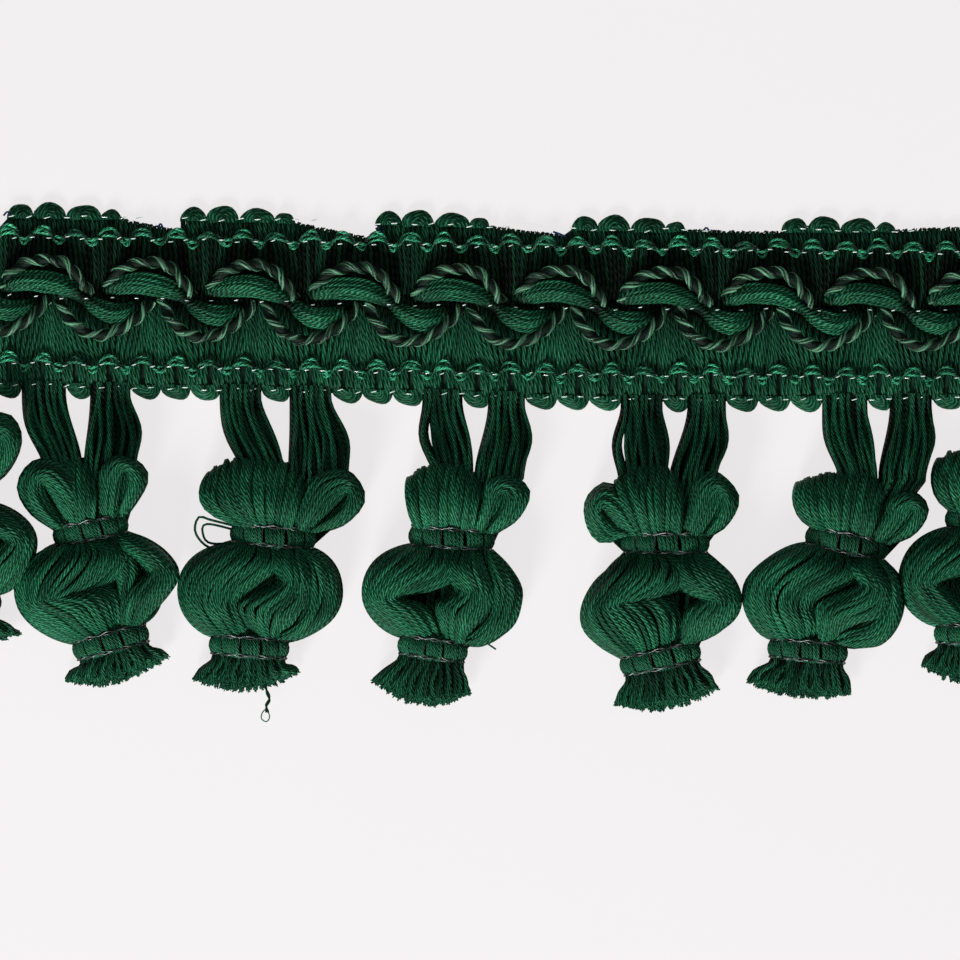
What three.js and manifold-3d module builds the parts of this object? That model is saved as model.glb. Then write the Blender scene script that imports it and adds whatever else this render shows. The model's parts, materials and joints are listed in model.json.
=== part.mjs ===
// Onion tassel fringe trim: a woven heading with a rope scroll and seven onion tassels.
// Millimetres, +Z up. The trim lies face up on the surface at z = 0, with X along its length.

import * as THREE from 'three';
import { mergeVertices } from 'three/addons/utils/BufferGeometryUtils.js';
import Module from 'manifold-3d';

const wasm = await Module();
wasm.setup();

// Driving sizes

const TRIM_LENGTH = 206; // cut length of the heading
const SCALLOP_PITCH = 5.1; // one loop of the heading's edge
const SCALLOP_DEEP = 1.9; // how far a loop stands out of the edge stitching
const EDGE_SET_BACK = 0.1; // the straight lower edge, short of its stitching over the legs
const HEADING_THICK = 1.9; // the woven ground at its ribs
const HEADING_EDGE = 1.2; // the woven ground at its edges
const CHAIN_WIDE = 2.1; // a chain row, across
const CHAIN_HIGH = 0.9; // a chain row, above the ground
const CHAIN_SWING = 0.3; // how far a chain row's middle goes up and down
const BUNDLE_WIDE = 3.6; // the cushion bundle, across
const BUNDLE_HIGH = 2.2;
const ROPE_THICK = 2.8; // the scroll's two-ply rope
const ROPE_FLAT = 0.6; // its ply, thin way against wide way
const ROPE_TURNS = 2; // of its twist in each arc
const ONION_DEEP = 12; // the onion, from the surface to its front
const HEAD_DEEP = 10;
const SKIRT_DEEP = 8.4;
const NECK_DEEP = 6.4; // the skein where a tie holds it
const TIE_LONG = 2.8; // a tie, along the skein
const TIE_THICK = 0.8;
const CELL_RISE = 0.15; // a cell of the binding, out of the tie
const UPPER_TIE_Z = 5; // middle of the skein at the ties, above the surface
const LOWER_TIE_Z = 4.8;
const SECTION_SIDES = 16; // sides of a tassel's body and of its ties
const FOLD_RISE = 0.06; // a fold of yarn, as a share of the body's half width
const EYE_DEEP = 4.5; // the hollow in the onion's front
const EYE_RIM = 8; // px, the slope round the hollow
const REST_FLAT = 0.4; // what lies lower than this rests flat on the surface
const LEG_STRANDS = 4; // strands in each of a tassel's two legs
const SKIRT_LOCKS = 10;
const LOCK_ROOT = 1.1; // a skirt lock's half depth at its root
const LOCK_TIP = 1.9; // and at its cut end
const GAP = 0.3; // between pieces that touch

// Places along the trim are read in a picture's frame, in pixels, with y down.

const MM_PER_PX = 0.153;
const MIDDLE_PX = { x: 477.5, y: 460.5 };

const mmX = (px) => (px - MIDDLE_PX.x) * MM_PER_PX;
const mmY = (py) => (MIDDLE_PX.y - py) * MM_PER_PX;
const mix = (a, b, t) => a + (b - a) * t;
const arch = (t) => Math.sin(Math.PI * t);
const ease = (t) => t * t * (3 - 2 * t);

// The heading's rows, bowed a little as it lies: one row of places for each measured station.

const HEADING_ROWS = [
	{ x: 10, topStitch: 216, upperChain: 235, centre: 296, lowerChain: 362, lowStitch: 384 },
	{ x: 326, topStitch: 222, upperChain: 241, centre: 304, lowerChain: 369, lowStitch: 390 },
	{ x: 640, topStitch: 230, upperChain: 247, centre: 309, lowerChain: 374, lowStitch: 399 },
	{ x: 950, topStitch: 231, upperChain: 251, centre: 310, lowerChain: 376, lowStitch: 397 },
];

// The heading's upper edge: after each step up come whole loops, then a cut edge that falls away.

const TOP_STEPS = [ -186, 8, 181, 376, 572, 782, 980, 1180 ];
const TOP_LOOPS = 3;
const TOP_CUT = 4; // px, how far the cut edge first stands above the stitching
const TOP_FALL = 12; // px, how far it falls below the stitching
const RIB_INSET = 4; // px, from the upper edge in to where the ground has its full thickness

// One row for each tassel. legs: where each leg leaves the heading. legIn: the legs' left side,
// middle, right side and height where they go into the head. head: its left and right puffs and
// its top. upper and lower: the ties. onion: its left and right reach. eye: the hollow in its
// front. skirt: its left and right tips and its lowest point.

const TASSELS = [
	{
		legs: [ [ -180, -138 ], [ -110, -70 ] ], legIn: [ -112, -72, -20, 430 ],
		head: { left: [ -134, 452 ], top: [ -62, 414 ], right: [ 20, 441 ] },
		upper: { x: -50, y: 490, half: 44, tilt: 4 }, lower: { x: -36, y: 600, half: 40, tilt: 4 },
		onion: { left: [ -122, 545 ], right: [ 33, 540 ] }, eye: { x: -48, y: 545, half: 12 },
		skirt: { left: [ -92, 636 ], right: [ 24, 634 ], low: [ -30, 647 ] },
	},
	{
		legs: [ [ 22, 67 ], [ 91, 131 ] ], legIn: [ 44, 84, 139, 462 ],
		head: { left: [ 20, 484 ], top: [ 78, 460 ], right: [ 147, 475 ] },
		upper: { x: 92, y: 530, half: 39, tilt: -11 }, lower: { x: 112, y: 641, half: 40, tilt: -15 },
		onion: { left: [ 18, 590 ], right: [ 178, 573 ] }, eye: { x: 112, y: 586, half: 20 },
		skirt: { left: [ 63, 682 ], right: [ 171, 657 ], low: [ 85, 692 ] },
	},
	{
		legs: [ [ 220, 262 ], [ 290, 332 ] ], legIn: [ 243, 287, 350, 472 ],
		head: { left: [ 202, 500 ], top: [ 262, 463 ], right: [ 362, 497 ] },
		upper: { x: 274, y: 536, half: 44, tilt: 5 }, lower: { x: 250, y: 646, half: 41, tilt: 4 },
		onion: { left: [ 180, 590 ], right: [ 342, 593 ] }, eye: { x: 275, y: 582, half: 9 },
		skirt: { left: [ 190, 679 ], right: [ 302, 672 ], low: [ 232, 693 ] },
	},
	{
		legs: [ [ 423, 463 ], [ 489, 525 ] ], legIn: [ 433, 474, 524, 472 ],
		head: { left: [ 407, 482 ], top: [ 448, 463 ], right: [ 528, 494 ] },
		upper: { x: 452, y: 538, half: 44, tilt: 4 }, lower: { x: 433, y: 648, half: 36, tilt: 8 },
		onion: { left: [ 365, 590 ], right: [ 522, 598 ] }, eye: { x: 424, y: 598, half: 15 },
		skirt: { left: [ 370, 681 ], right: [ 472, 694 ], low: [ 415, 706 ] },
	},
	{
		legs: [ [ 621, 663 ], [ 688, 726 ] ], legIn: [ 618, 668, 716, 478 ],
		head: { left: [ 587, 512 ], top: [ 655, 468 ], right: [ 735, 498 ] },
		upper: { x: 665, y: 543, half: 45, tilt: 0 }, lower: { x: 660, y: 658, half: 42, tilt: -12 },
		onion: { left: [ 583, 614 ], right: [ 739, 597 ] }, eye: { x: 674, y: 604, half: 22 },
		skirt: { left: [ 613, 705 ], right: [ 720, 688 ], low: [ 635, 716 ] },
	},
	{
		legs: [ [ 822, 868 ], [ 890, 932 ] ], legIn: [ 838, 877, 926, 474 ],
		head: { left: [ 791, 500 ], top: [ 850, 472 ], right: [ 924, 508 ] },
		upper: { x: 846, y: 543, half: 43, tilt: 12 }, lower: { x: 807, y: 650, half: 41, tilt: 5 },
		onion: { left: [ 744, 592 ], right: [ 897, 604 ] }, eye: { x: 836, y: 590, half: 6 },
		skirt: { left: [ 744, 682 ], right: [ 852, 694 ], low: [ 822, 702 ] },
	},
	{
		legs: [ [ 1022, 1066 ], [ 1092, 1132 ] ], legIn: [ 966, 1004, 1056, 462 ],
		head: { left: [ 932, 472 ], top: [ 1000, 449 ], right: [ 1080, 480 ] },
		upper: { x: 985, y: 520, half: 42, tilt: 2 }, lower: { x: 972, y: 634, half: 40, tilt: 2 },
		onion: { left: [ 900, 580 ], right: [ 1058, 583 ] }, eye: { x: 968, y: 584, half: 12 },
		skirt: { left: [ 917, 664 ], right: [ 1030, 666 ], low: [ 972, 686 ] },
	},
];

// The scroll's arcs: the upper ones repeat at this pitch, the lower ones lie half a pitch over.

const ARC_PITCH_PX = 103;
const UPPER_CUSP_PX = 105; // a cusp of the upper rope
const LOWER_CUSP_PX = 157;
const WAVE_PX = 14; // the cushion bundle's swing about the heading's centre
const CUSP_THIN = 0.5; // the rope's share of its thickness where it is stitched down

// Shapes inside a tassel: shares of the length between two ties, and pixels.

const HEAD_STATIONS = [
	{ t: 0.06, deep: 0.5 },
	{ t: 0.22, deep: 0.84 },
	{ t: 0.4, deep: 1 },
	{ t: 0.6, deep: 1 },
	{ t: 0.85, deep: 0.84 },
];
const HEAD_CROWN = 0.25; // where the head's top edge starts, from its middle to a puff
const ONION_STATIONS = [ 0.1, 0.24, 0.4, 0.55, 0.7, 0.87 ];
const ONION_SWELL = 0.6; // power of the arch by which the onion deepens between its ties
const TIE_CLEAR_PX = 3; // from a tie to where the onion starts to swell
const SKIRT_ROOT_PX = 13; // how far below the tie the skirt's locks part
const SKIRT_ROOT_SHARE = 0.9; // the skirt's root against the tie, across
const LOCK_START_PX = 4; // from the tie to where a lock's own root lies
const LOCK_ROOT_SPREAD = 0.66; // the locks' roots, as a share of the tie
const LOCK_TAPER = 0.62; // a lock's width at its root against its cut end
const LOCK_ROWS = [
	{ root: 0.42, tip: 0.25 },
	{ root: 0.6, tip: 0.74 },
]; // heights as shares of the skirt's depth: the back row and the front row
const LEG_BOW_PX = 4; // how far the outermost strand of a leg swings out
const LEG_INTO_PX = 22; // how far a strand runs on inside the head
const LEG_RUN = 1.5; // power by which a strand's stations crowd towards the heading
const LEG_CLEAR = 0.2; // the share of a strand that runs straight down past the edge's loops
const LEG_END = 0.45; // height of a strand's end in the head, as a share of its depth
const LEG_DEEP = { top: 0.45, low: 0.22 }; // half depths: of the heading, of the head

// Materials

const finish = (color, roughness) =>
	new THREE.MeshStandardMaterial({ color, roughness, metalness: 0 });
const weftYarn = finish(0x0b3a26, 0.85);
const chainThread = finish(0x1d6a4a, 0.55);
const bundleYarn = finish(0x11503a, 0.8);
const ropeStrand = finish(0x4d7a58, 0.5);
const tasselYarn = finish(0x0e4a34, 0.85);
const tieThread = finish(0x0a2f22, 0.7);

// Solids

function toSolid(geometry) {

	const bare = geometry.clone();
	bare.deleteAttribute('normal');
	bare.deleteAttribute('uv');
	const merged = mergeVertices(bare, 1e-5);
	const mesh = new wasm.Mesh({
		numProp: 3,
		vertProperties: new Float32Array(merged.attributes.position.array),
		triVerts: new Uint32Array(merged.index.array),
	});
	return new wasm.Manifold(mesh);

}

function toGeometry(solid) {

	const mesh = solid.getMesh();
	const geometry = new THREE.BufferGeometry();
	geometry.setAttribute('position', new THREE.BufferAttribute(mesh.vertProperties, 3));
	geometry.setIndex(new THREE.BufferAttribute(mesh.triVerts, 1));
	geometry.computeVertexNormals();
	return geometry;

}

// Bundles that meet are joined, and the small closed spaces left between them are filled.

function joined(geometries) {

	const shells = geometries.map(toSolid).reduce((sum, piece) => sum.add(piece)).decompose();
	return toGeometry(shells.reduce((a, b) => (a.volume() > b.volume() ? a : b)));

}

// A bundle of yarn swept along a path. centre(t) gives the path in mm, wide(t) and deep(t) its
// half sizes across and up, and turn(t) an angle that twists its section.

function sweep({ centre, wide, deep, sides, steps, turn = () => 0 }) {

	const geometry = new THREE.CylinderGeometry(1, 1, 1, sides, steps);
	const position = geometry.attributes.position;
	const ahead = 0.01;
	for (let i = 0; i < position.count; i++) {

		const t = THREE.MathUtils.clamp(0.5 + position.getY(i), 0, 1);
		const middle = centre(t);
		const next = centre(Math.min(1, t + ahead));
		const before = centre(Math.max(0, t - ahead));
		const along = next.sub(before).normalize();
		const across = new THREE.Vector3().crossVectors(along, new THREE.Vector3(0, 0, 1)).normalize();
		const up = new THREE.Vector3().crossVectors(across, along);
		const c = Math.cos(turn(t));
		const s = Math.sin(turn(t));
		const flatX = position.getX(i) * wide(t);
		const flatZ = position.getZ(i) * deep(t);
		middle.addScaledVector(across, flatX * c - flatZ * s);
		middle.addScaledVector(up, flatX * s + flatZ * c);
		position.setXYZ(i, middle.x, middle.y, Math.max(0, middle.z));

	}
	return geometry;

}

// Heading

function headingRow(name, px) {

	const rows = HEADING_ROWS;
	if (px <= rows[0].x) return rows[0][name];
	for (let i = 1; i < rows.length; i++) {

		if (px <= rows[i].x) {

			const t = (px - rows[i - 1].x) / (rows[i].x - rows[i - 1].x);
			return mix(rows[i - 1][name], rows[i][name], t);

		}

	}
	return rows[rows.length - 1][name];

}

const scallopPx = SCALLOP_PITCH / MM_PER_PX;
const scallopDeepPx = SCALLOP_DEEP / MM_PER_PX;
const loopOf = (t) => Math.sqrt(Math.max(0, 1 - (2 * t - 1) ** 2));

// The columns of the heading, from end to end, with how far the lower edge stands below its
// stitching at each: whole loops between the legs, and none where a leg comes out.

function headingColumns() {

	const half = TRIM_LENGTH / 2 / MM_PER_PX;
	const legEdges = TASSELS.flatMap((tassel) => tassel.legs).flat();
	const edges = [ MIDDLE_PX.x - half, ...legEdges, MIDDLE_PX.x + half ];
	const alongLoop = [ 0, 0.22, 0.78 ]; // the stations of one loop, as shares of it
	const columns = [];
	for (let i = 0; i + 1 < edges.length; i++) {

		const width = edges[i + 1] - edges[i];
		const isLeg = i % 2 === 1;
		const loops = isLeg ? 1 : Math.max(1, Math.round(width / scallopPx));
		for (let loop = 0; loop < loops; loop++) {

			for (const share of isLeg ? [ 0, 0.5 ] : alongLoop) {

				const px = edges[i] + ((loop + share) * width) / loops;
				columns.push({ px, low: isLeg ? 0 : scallopDeepPx * Math.sqrt(loopOf(share)) });

			}

		}

	}
	columns.push({ px: edges[edges.length - 1], low: 0 });
	return columns;

}

// How far the upper edge stands above its stitching.

function topEdge(px) {

	const step = TOP_STEPS.findLastIndex((at) => at <= px);
	const from = TOP_STEPS[Math.max(0, step)];
	const to = TOP_STEPS[Math.max(0, step) + 1];
	const loops = (px - from) / scallopPx;
	if (loops < 0) return 0;
	if (loops < TOP_LOOPS) return scallopDeepPx * loopOf(loops - Math.floor(loops));
	const fall = (px - from - TOP_LOOPS * scallopPx) / (to - from - TOP_LOOPS * scallopPx);
	return mix(TOP_CUT, -TOP_FALL, fall);

}

function makeHeading() {

	const columns = headingColumns();
	const rows = 4;
	const geometry = new THREE.BoxGeometry(columns.length - 1, 1, 1, columns.length - 1, rows, 1);
	const position = geometry.attributes.position;
	const levels = [ HEADING_EDGE, HEADING_THICK, HEADING_THICK, HEADING_THICK, HEADING_EDGE ];
	for (let i = 0; i < position.count; i++) {

		const { px, low } = columns[Math.round(position.getX(i) + (columns.length - 1) / 2)];
		const row = Math.round((position.getY(i) + 0.5) * rows);
		const rise = topEdge(px);
		const y = [
			headingRow('lowStitch', px) + low,
			headingRow('lowStitch', px),
			headingRow('centre', px),
			headingRow('topStitch', px) + RIB_INSET - Math.min(0, rise),
			headingRow('topStitch', px) - rise,
		][row];
		const z = position.getZ(i) > 0 ? levels[row] : 0;
		const setBack = low === 0 && row === 0 ? EDGE_SET_BACK : 0;
		position.setXYZ(i, mmX(px), mmY(y) + setBack, z);

	}
	return geometry;

}

// A chain row: a low strip whose middle line goes up and down in small arches.

function makeChain(row) {

	const arches = Math.round(TRIM_LENGTH / SCALLOP_PITCH);
	const half = TRIM_LENGTH / 2 - GAP;
	const base = HEADING_THICK + GAP;
	return sweep({
		centre: (t) => {

			const x = mix(-half, half, t);
			const px = MIDDLE_PX.x + x / MM_PER_PX;
			const swing = CHAIN_SWING * Math.cos(2 * Math.PI * t * arches);
			return new THREE.Vector3(x, mmY(headingRow(row, px)) + swing, base + CHAIN_HIGH / 2);

		},
		wide: (t) => CHAIN_WIDE * mix(0.3, 0.5, (1 + Math.cos(2 * Math.PI * t * arches)) / 2),
		deep: () => CHAIN_HIGH / 2,
		sides: 3,
		steps: arches * 2,
	});

}

// The cushion bundle waves along the centre: up under each upper arc, down over each lower one.

const waveAt = (px) => -Math.cos((2 * Math.PI * (px - UPPER_CUSP_PX)) / ARC_PITCH_PX);

function makeBundle() {

	const half = TRIM_LENGTH / 2 - GAP;
	const base = HEADING_THICK + GAP;
	return sweep({
		centre: (t) => {

			const x = mix(-half, half, t);
			const px = MIDDLE_PX.x + x / MM_PER_PX;
			const y = headingRow('centre', px) - WAVE_PX * waveAt(px);
			return new THREE.Vector3(x, mmY(y), base + BUNDLE_HIGH / 2);

		},
		wide: () => BUNDLE_WIDE / 2,
		deep: () => BUNDLE_HIGH / 2,
		sides: 6,
		steps: Math.round(TRIM_LENGTH / (ARC_PITCH_PX * MM_PER_PX)) * 5,
	});

}

// A scroll rope: a row of arcs on one side of the bundle, dipping to the ground at each cusp.

function makeRope(side, cuspPx) {

	const half = TRIM_LENGTH / 2 - GAP;
	const pitch = ARC_PITCH_PX * MM_PER_PX;
	const base = HEADING_THICK + GAP;
	const wavePhase = (px) => (2 * Math.PI * (px - UPPER_CUSP_PX)) / ARC_PITCH_PX;
	const thickAt = (px) => {

		const arc = Math.abs(Math.sin((Math.PI * (px - cuspPx)) / ARC_PITCH_PX));
		return (ROPE_THICK / 2) * mix(CUSP_THIN, 1, Math.sqrt(arc));

	};

	// The rope keeps its gap to the bundle square to the bundle's slope.
	const offsetAt = (px) => {

		const slope = ((WAVE_PX * 2 * Math.PI) / ARC_PITCH_PX) * Math.sin(wavePhase(px));
		const reach = (BUNDLE_WIDE / 2 + GAP + thickAt(px)) / MM_PER_PX;
		return side * WAVE_PX * waveAt(px) + reach * Math.hypot(1, slope);

	};
	const pxAt = (t) => MIDDLE_PX.x + mix(-half, half, t) / MM_PER_PX;
	return sweep({
		centre: (t) => {

			const px = pxAt(t);
			return new THREE.Vector3(
				mmX(px),
				mmY(headingRow('centre', px) - side * offsetAt(px)),
				base + thickAt(px),
			);

		},
		wide: (t) => thickAt(pxAt(t)),
		deep: (t) => thickAt(pxAt(t)) * ROPE_FLAT,
		turn: (t) => (2 * Math.PI * ROPE_TURNS * t * 2 * half) / pitch,
		sides: 4,
		steps: Math.round((2 * half) / pitch) * 8,
	});

}

// Tassels

// A place on a tie's line: f runs from -1 at its left end to 1 at its right, and drop moves
// along the skein, in pixels.

function onTie(tie, f, drop = 0) {

	const tilt = THREE.MathUtils.degToRad(tie.tilt);
	return {
		x: tie.x + tie.half * f * Math.cos(tilt) - drop * Math.sin(tilt),
		y: tie.y + tie.half * f * Math.sin(tilt) + drop * Math.cos(tilt),
	};

}

// A fold of yarn that leaves a tie sideways, reaches its widest point and comes back.

function fold(from, out, to, t) {

	const angle = (t < 0.5 ? t : t - 0.5) * Math.PI;
	if (t < 0.5) {

		return {
			x: from.x + (out.x - from.x) * Math.sin(angle),
			y: out.y + (from.y - out.y) * Math.cos(angle),
		};

	}
	return {
		x: to.x + (out.x - to.x) * Math.cos(angle),
		y: out.y + (to.y - out.y) * Math.sin(angle),
	};

}

const place = ({ x, y }, z) => new THREE.Vector3(mmX(x), mmY(y), z);
const mixPoint = (a, b, t) => ({ x: mix(a.x, b.x, t), y: mix(a.y, b.y, t) });
const asPoint = ([ x, y ]) => ({ x, y });

// The legs: strands side by side from the heading's edge down into the head.

function legStrands(tassel) {

	const [ left, middle, right, low ] = tassel.legIn;
	const spans = [ [ left, middle ], [ middle, right ] ];
	return tassel.legs.flatMap(([ from, to ], leg) =>
		Array.from({ length: LEG_STRANDS }, (_, i) => {

			const share = (i + 0.5) / LEG_STRANDS;
			const topX = mix(from, to, share);
			const lowX = mix(...spans[leg], share);
			const topY = headingRow('lowStitch', topX) + GAP / MM_PER_PX;
			const half = ((to - from) / LEG_STRANDS / 2) * MM_PER_PX - GAP / 2;
			const bow = LEG_BOW_PX * (leg === 0 ? share - 1 : share);
			return sweep({
				centre: (t) => {

					const down = t ** LEG_RUN;
					const over = ease(Math.max(0, (down - LEG_CLEAR) / (1 - LEG_CLEAR)));
					const x = mix(topX, lowX, over) + bow * arch(over);
					const y = mix(topY, low + LEG_INTO_PX, down);
					return place({ x, y }, mix(HEADING_THICK / 2, HEAD_DEEP * LEG_END, over));

				},
				wide: () => half,
				deep: (t) => mix(HEADING_THICK * LEG_DEEP.top, HEAD_DEEP * LEG_DEEP.low, t),
				sides: 3,
				steps: 3,
			});

		}));

}

// The body from the head's top to below the lower tie, as a row of stations. Each is a line from
// the left side to the right side with its half depth, its height off the surface and how far
// the folds of yarn stand out of it.

function bodyStations(tassel) {

	const { head, upper, lower, onion } = tassel;
	const edge = (TIE_LONG / 2 + GAP) / MM_PER_PX;
	const neck = (tie) => 1 - (TIE_THICK + GAP) / (tie.half * MM_PER_PX);
	const sides = [ [ -1, 'left' ], [ 1, 'right' ] ];
	const stations = [];

	for (const { t, deep } of HEAD_STATIONS) {

		const [ left, right ] = sides.map(([ f, side ]) => {

			const out = asPoint(head[side]);
			const from = { x: mix(head.top[0], out.x, HEAD_CROWN), y: head.top[1] };
			return fold(from, out, onTie(upper, f * neck(upper), -edge), t);

		});
		stations.push({ left, right, deep: (deep * HEAD_DEEP) / 2, z: HEAD_DEEP / 2, ridge: deep });

	}
	const addNeck = (tie, z) => [ -edge, edge ].forEach((drop) => {

		const [ left, right ] = sides.map(([ f ]) => onTie(tie, f * neck(tie), drop));
		stations.push({ left, right, deep: NECK_DEEP / 2, z, ridge: 0 });

	});
	addNeck(upper, UPPER_TIE_Z);
	for (const t of ONION_STATIONS) {

		const [ left, right ] = sides.map(([ f, side ]) => fold(
			onTie(upper, f * neck(upper), edge + TIE_CLEAR_PX),
			asPoint(onion[side]),
			onTie(lower, f * neck(lower), -edge - TIE_CLEAR_PX),
			t,
		));
		const swell = arch(t) ** ONION_SWELL;
		const deep = mix(NECK_DEEP, ONION_DEEP, swell) / 2;
		stations.push({ left, right, deep, z: mix(UPPER_TIE_Z, ONION_DEEP / 2, swell), ridge: 1 });

	}
	addNeck(lower, LOWER_TIE_Z);
	const root = (f) => onTie(lower, f * SKIRT_ROOT_SHARE, edge + SKIRT_ROOT_PX);
	const [ left, right ] = sides.map(([ f ]) => root(f));
	stations.push({ left, right, deep: NECK_DEEP / 2, z: SKIRT_DEEP / 2, ridge: 0 });
	return stations;

}

// The body's skin: sixteen sides, standing out and in by turns as its folds of yarn do, with the
// eye pressed into its front and a small flat where it rests.

function makeBody(tassel) {

	const { eye } = tassel;
	const stations = bodyStations(tassel);
	const steps = stations.length - 1;
	const geometry = new THREE.CylinderGeometry(1, 1, steps, SECTION_SIDES, steps);
	const position = geometry.attributes.position;
	for (let i = 0; i < position.count; i++) {

		const station = stations[Math.round(position.getY(i) + steps / 2)];
		const angle = Math.atan2(position.getX(i), position.getZ(i));
		const fold = 1 - FOLD_RISE * station.ridge * (1 - Math.cos((angle * SECTION_SIDES) / 2));
		const share = (1 - position.getX(i) * fold) / 2;
		const at = mixPoint(station.left, station.right, share);
		const toEye = Math.hypot(at.x - eye.x, at.y - eye.y) / (eye.half + EYE_RIM);
		const pressed = position.getZ(i) > 0 ? EYE_DEEP * Math.exp(-(toEye ** 2)) : 0;
		const z = station.z + station.deep * position.getZ(i) * fold - pressed;
		const up = place(at, z < REST_FLAT ? 0 : z);
		position.setXYZ(i, up.x, up.y, up.z);

	}
	return geometry;

}

// The skirt: cut locks fanned out below the lower tie, in a front and a back row.

function skirtLocks(tassel) {

	const { lower, skirt } = tassel;
	const left = asPoint(skirt.left);
	const right = asPoint(skirt.right);
	const low = asPoint(skirt.low);
	const perRow = SKIRT_LOCKS / 2;
	const rootDrop = (TIE_LONG / 2 + GAP) / MM_PER_PX + LOCK_START_PX;
	const lockHalf = ((right.x - left.x) * MM_PER_PX) / perRow / 2 - GAP / 2;
	return LOCK_ROWS.flatMap((row) => Array.from({ length: perRow }, (_, i) => {

		const f = (2 * (i + 0.5)) / perRow - 1;
		const edge = mixPoint(left, right, (i + 0.5) / perRow);
		const chord = mix(left.y, right.y, (low.x - left.x) / (right.x - left.x));
		const tip = { x: edge.x, y: edge.y + (low.y - chord) * (1 - f * f) };
		const root = onTie(lower, f * LOCK_ROOT_SPREAD, rootDrop);
		return sweep({
			centre: (t) => place(mixPoint(root, tip, t), SKIRT_DEEP * mix(row.root, row.tip, t)),
			wide: (t) => lockHalf * mix(LOCK_TAPER, 1, t),
			deep: (t) => mix(LOCK_ROOT, LOCK_TIP, t),
			sides: 3,
			steps: 1,
		});

	}));

}

// A tie: a sleeve round the skein, with the cells of its binding standing out in front.

function makeTie(tie, z) {

	const inner = TIE_LONG / 2;
	const outer = TIE_LONG * 0.4; // the sleeve's outside is a little shorter than its inside
	const profile = [
		new THREE.Vector2(1, -inner),
		new THREE.Vector2(1 + TIE_THICK, -outer),
		new THREE.Vector2(1 + TIE_THICK, outer),
		new THREE.Vector2(1, inner),
		new THREE.Vector2(1, -inner),
	];
	const geometry = new THREE.LatheGeometry(profile, SECTION_SIDES);
	const position = geometry.attributes.position;
	const halfWide = tie.half * MM_PER_PX - TIE_THICK;
	const halfDeep = NECK_DEEP / 2 + GAP;
	for (let i = 0; i < position.count; i++) {

		const radius = Math.hypot(position.getX(i), position.getZ(i));
		const angle = Math.atan2(position.getX(i), position.getZ(i));
		const onOutside = radius > 1 + TIE_THICK / 2;
		const cell = onOutside ? CELL_RISE * Math.cos((angle * SECTION_SIDES) / 2) : 0;
		const out = radius - 1 + cell;
		position.setXYZ(
			i,
			Math.sin(angle) * (halfWide + out),
			position.getY(i),
			Math.cos(angle) * (halfDeep + out),
		);

	}
	geometry.rotateZ(THREE.MathUtils.degToRad(-tie.tilt));
	geometry.translate(mmX(tie.x), mmY(tie.y), z);
	return geometry;

}

const makeTassel = (tassel) => joined([ makeBody(tassel), ...legStrands(tassel), ...skirtLocks(tassel) ]);

// The trim

const trim = new THREE.Group();

function addPiece(name, geometry, material) {

	const mesh = new THREE.Mesh(geometry, material.clone());
	mesh.name = name;
	trim.add(mesh);

}

addPiece('heading', makeHeading(), weftYarn);
addPiece('chain_upper', makeChain('upperChain'), chainThread);
addPiece('chain_lower', makeChain('lowerChain'), chainThread);
addPiece('scroll_bundle', makeBundle(), bundleYarn);
addPiece('rope_upper', makeRope(1, UPPER_CUSP_PX), ropeStrand);
addPiece('rope_lower', makeRope(-1, LOWER_CUSP_PX), ropeStrand);
TASSELS.forEach((tassel, i) => {

	addPiece(`tassel_${i}`, makeTassel(tassel), tasselYarn);
	addPiece(`tie_upper_${i}`, makeTie(tassel.upper, UPPER_TIE_Z), tieThread);
	addPiece(`tie_lower_${i}`, makeTie(tassel.lower, LOWER_TIE_Z), tieThread);

});

export default trim;
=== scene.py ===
"""Onion tassel fringe trim: a woven heading with a rope scroll and seven onion tassels.

Lengths are millimetres unless a comment says px. Places are pixels of the 960 x 960 photograph,
with y down, and are turned into metres of the shared frame where a mesh is made.
"""

import json
import math
import random

import bpy
import numpy as np
from bpy.props import FloatProperty, FloatVectorProperty, IntProperty, PointerProperty
from bpy.types import Operator, Panel, PropertyGroup
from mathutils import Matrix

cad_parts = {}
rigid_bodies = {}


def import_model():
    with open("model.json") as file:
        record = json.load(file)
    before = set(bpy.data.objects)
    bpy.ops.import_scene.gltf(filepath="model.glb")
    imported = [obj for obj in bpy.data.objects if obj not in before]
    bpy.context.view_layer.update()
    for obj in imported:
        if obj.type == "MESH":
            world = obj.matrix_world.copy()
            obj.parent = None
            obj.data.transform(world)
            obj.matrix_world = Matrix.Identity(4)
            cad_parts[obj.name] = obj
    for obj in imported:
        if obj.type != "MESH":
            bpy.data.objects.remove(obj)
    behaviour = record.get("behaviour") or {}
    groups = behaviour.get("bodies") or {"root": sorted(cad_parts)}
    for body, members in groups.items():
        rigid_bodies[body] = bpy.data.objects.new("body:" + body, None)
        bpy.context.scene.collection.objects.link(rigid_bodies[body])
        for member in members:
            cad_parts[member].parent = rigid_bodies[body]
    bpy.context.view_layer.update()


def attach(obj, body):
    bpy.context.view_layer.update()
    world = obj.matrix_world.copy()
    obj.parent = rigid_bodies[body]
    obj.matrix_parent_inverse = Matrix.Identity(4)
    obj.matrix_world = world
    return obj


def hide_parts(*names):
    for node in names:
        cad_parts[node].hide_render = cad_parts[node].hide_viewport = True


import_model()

bl_info = {
    "name": "Onion Tassel Fringe Trim",
    "version": (1, 0, 0),
    "blender": (4, 5, 0),
    "location": "View3D > Sidebar > Trim",
    "description": "Builds a cut length of onion tassel fringe with its rope scroll",
    "category": "Add Mesh",
}

# The photograph's frame

MM = 0.001
PX = 0.153  # millimetres to a pixel
MIDDLE_X, MIDDLE_Y = 477.5, 460.5  # the pixel over the frame's origin
PHOTO_SIDE = 960

# Driving sizes

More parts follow.
